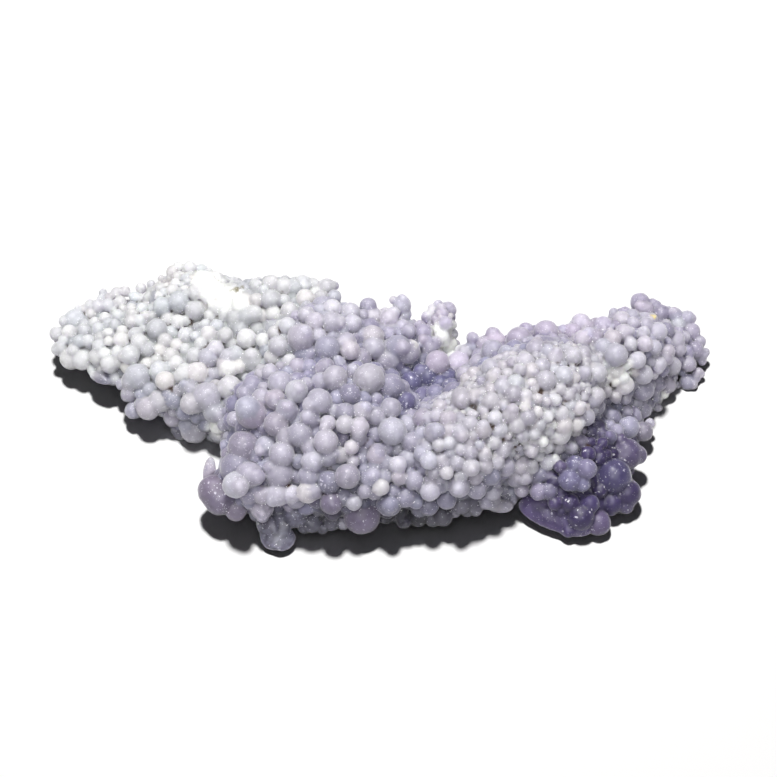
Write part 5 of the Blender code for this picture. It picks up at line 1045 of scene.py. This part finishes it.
# ---------------------------------------------------------------- the piece
def cluster():
    mass = lobes()
    seen = seen_grapes(mass)
    grapes = seen + covering_grapes(mass, seen) + budding(seen)
    field = Field((-70.5, -33.5), (70.5, 33.5, 28.5))
    for middle, half, axes in mass:
        field.lobe(middle, half, axes, 2.0)
    mass_only = field.distance.copy()
    for middle, radius, group, _ in grapes:
        field.ball(middle, radius, min((0.22 if group in (0, 1, 11) else 0.17) * radius, 0.55))
    for middle, half, axes in scales(mass):
        field.lobe(middle, half, axes, 0.2)
    field.cut_flat()
    field.heal()
    points, triangles = outer_only(*field.skin())
    points = field.settle(points)

    fine = mesh_of("fine_skin", points, triangles)
    model = bpy.data.objects.new("fine_skin", fine)
    bpy.context.scene.collection.objects.link(model)
    thin = model.modifiers.new("thin", "DECIMATE")
    thin.ratio = TRIANGLES / len(triangles)
    bpy.context.view_layer.update()
    mesh = bpy.data.meshes.new_from_object(model.evaluated_get(bpy.context.evaluated_depsgraph_get()))
    bpy.data.objects.remove(model, do_unlink=True)
    bpy.data.meshes.remove(fine)
    mesh.name = "chalcedony_cluster"

    points = np.empty(len(mesh.vertices) * 3, np.float32)
    mesh.vertices.foreach_get("co", points)
    points = points.reshape(-1, 3).astype(float)
    normals = np.empty(len(mesh.vertices) * 3, np.float32)
    mesh.vertices.foreach_get("normal", normals)
    normals = normals.reshape(-1, 3).astype(float)
    solid = (field.distance < 0).astype(np.float32)
    cavity = field.read(blurred(solid, 1), points)
    recess = field.read(blurred(solid, 6), points + 0.8 * normals)
    proud = field.read(mass_only, points)
    colour, rough, sparkle, flash = tones(points, normals, mass, grapes, cavity, recess, proud)

    layer = mesh.attributes.new("tone", "FLOAT_COLOR", "POINT")
    layer.data.foreach_set("color", np.concatenate([colour, np.ones((len(points), 1))], axis=1).astype(np.float32).ravel())
    # roughness, and the amounts of the painted glints
    rough_and_glints = np.stack([rough, sparkle, flash], axis=1)
    layer = mesh.attributes.new("rough_and_glints", "FLOAT_VECTOR", "POINT")
    layer.data.foreach_set("vector", rough_and_glints.astype(np.float32).ravel())

    mesh.transform(Matrix.Diagonal((0.001, 0.001, 0.001, 1.0)) @ Matrix.Translation((CENTRING[0], CENTRING[1], 0.0)))
    mesh.polygons.foreach_set("use_smooth", np.ones(len(mesh.polygons), bool))
    mesh.materials.append(chalcedony())
    piece = bpy.data.objects.new("chalcedony_cluster", mesh)
    bpy.context.scene.collection.objects.link(piece)
    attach(piece, "root")
    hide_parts(NODE)
    return piece


# ---------------------------------------------------------------- floor, light and camera
def area(name, place, aim, size, power, colour=(1.0, 1.0, 1.0)):
    lamp = bpy.data.lights.new(name, "AREA")
    lamp.shape = "DISK"
    lamp.size = size
    lamp.energy = power
    lamp.color = colour
    made = bpy.data.objects.new(name, lamp)
    bpy.context.scene.collection.objects.link(made)
    made.location = place
    made.rotation_euler = (Vector(aim) - Vector(place)).to_track_quat("-Z", "Y").to_euler()
    return made


def stage(piece):
    scene = bpy.context.scene
    scene.view_settings.view_transform = "Standard"
    scene.view_settings.look = "None"
    scene.view_settings.exposure = 0.0
    scene.view_settings.gamma = 1.0

    mesh = bpy.data.meshes.new("floor")
    side = 1.1
    mesh.from_pydata([(-side, -side, 0), (side, -side, 0), (side, side, 0), (-side, side, 0)], [], [(0, 1, 2, 3)])
    floor = bpy.data.objects.new("floor", mesh)
    scene.collection.objects.link(floor)
    floor.location.z = -0.00005
    paint = bpy.data.materials.new("floor")
    paint.use_nodes = True
    paint.node_tree.nodes["Principled BSDF"].inputs["Base Color"].default_value = (0.90, 0.90, 0.905, 1.0)
    paint.node_tree.nodes["Principled BSDF"].inputs["Roughness"].default_value = 0.8
    paint.node_tree.nodes["Principled BSDF"].inputs["Specular IOR Level"].default_value = 0.2
    mesh.materials.append(paint)

    world = bpy.data.worlds.new("studio")
    scene.world = world
    world.use_nodes = True
    nodes, links = world.node_tree.nodes, world.node_tree.links
    back = nodes["Background"]
    path = nodes.new("ShaderNodeLightPath")
    amount = nodes.new("ShaderNodeMapRange")
    amount.inputs["To Min"].default_value = 0.012
    amount.inputs["To Max"].default_value = 1.0
    links.new(path.outputs["Is Camera Ray"], amount.inputs["Value"])
    back.inputs["Color"].default_value = (1.0, 1.0, 1.0, 1.0)
    links.new(amount.outputs["Result"], back.inputs["Strength"])

    area("key", (-0.04, 0.24, 0.97), (0.0, 0.0, 0.0), 0.10, 12.0, (1.0, 0.995, 0.985))
    area("fill", (-0.10, -0.36, 0.92), (0.0, 0.0, 0.01), 0.8, 0.12, (0.985, 0.99, 1.0))
    # a second fill, flagged off the floor: it opens up the stone and leaves the shadow beside it dark
    flagged = area("fill_stone", (-0.06, -0.52, 0.85), (0.0, 0.0, 0.01), 0.6, 8.0, (0.985, 0.99, 1.0))
    lit = bpy.data.collections.new("fill_stone")
    lit.objects.link(piece)
    flagged.light_linking.receiver_collection = lit

    height = math.radians(VIEW_HEIGHT)
    way = Vector((0.0, math.cos(height), -math.sin(height)))
    lens = bpy.data.cameras.new("camera")
    lens.sensor_width = 36.0
    lens.lens = 18.0 * VIEW_DISTANCE / (VIEW_MIDDLE * VIEW_UNIT)
    lens.clip_start, lens.clip_end = 0.01, 20.0
    camera = bpy.data.objects.new("camera", lens)
    scene.collection.objects.link(camera)
    camera.location = Vector(VIEW_AIM) * 0.001 + Vector((CENTRING[0], CENTRING[1], 0.0)) * 0.001 - way * (VIEW_DISTANCE * 0.001)
    camera.rotation_euler = way.to_track_quat("-Z", "Y").to_euler()
    scene.camera = camera


stage(cluster())
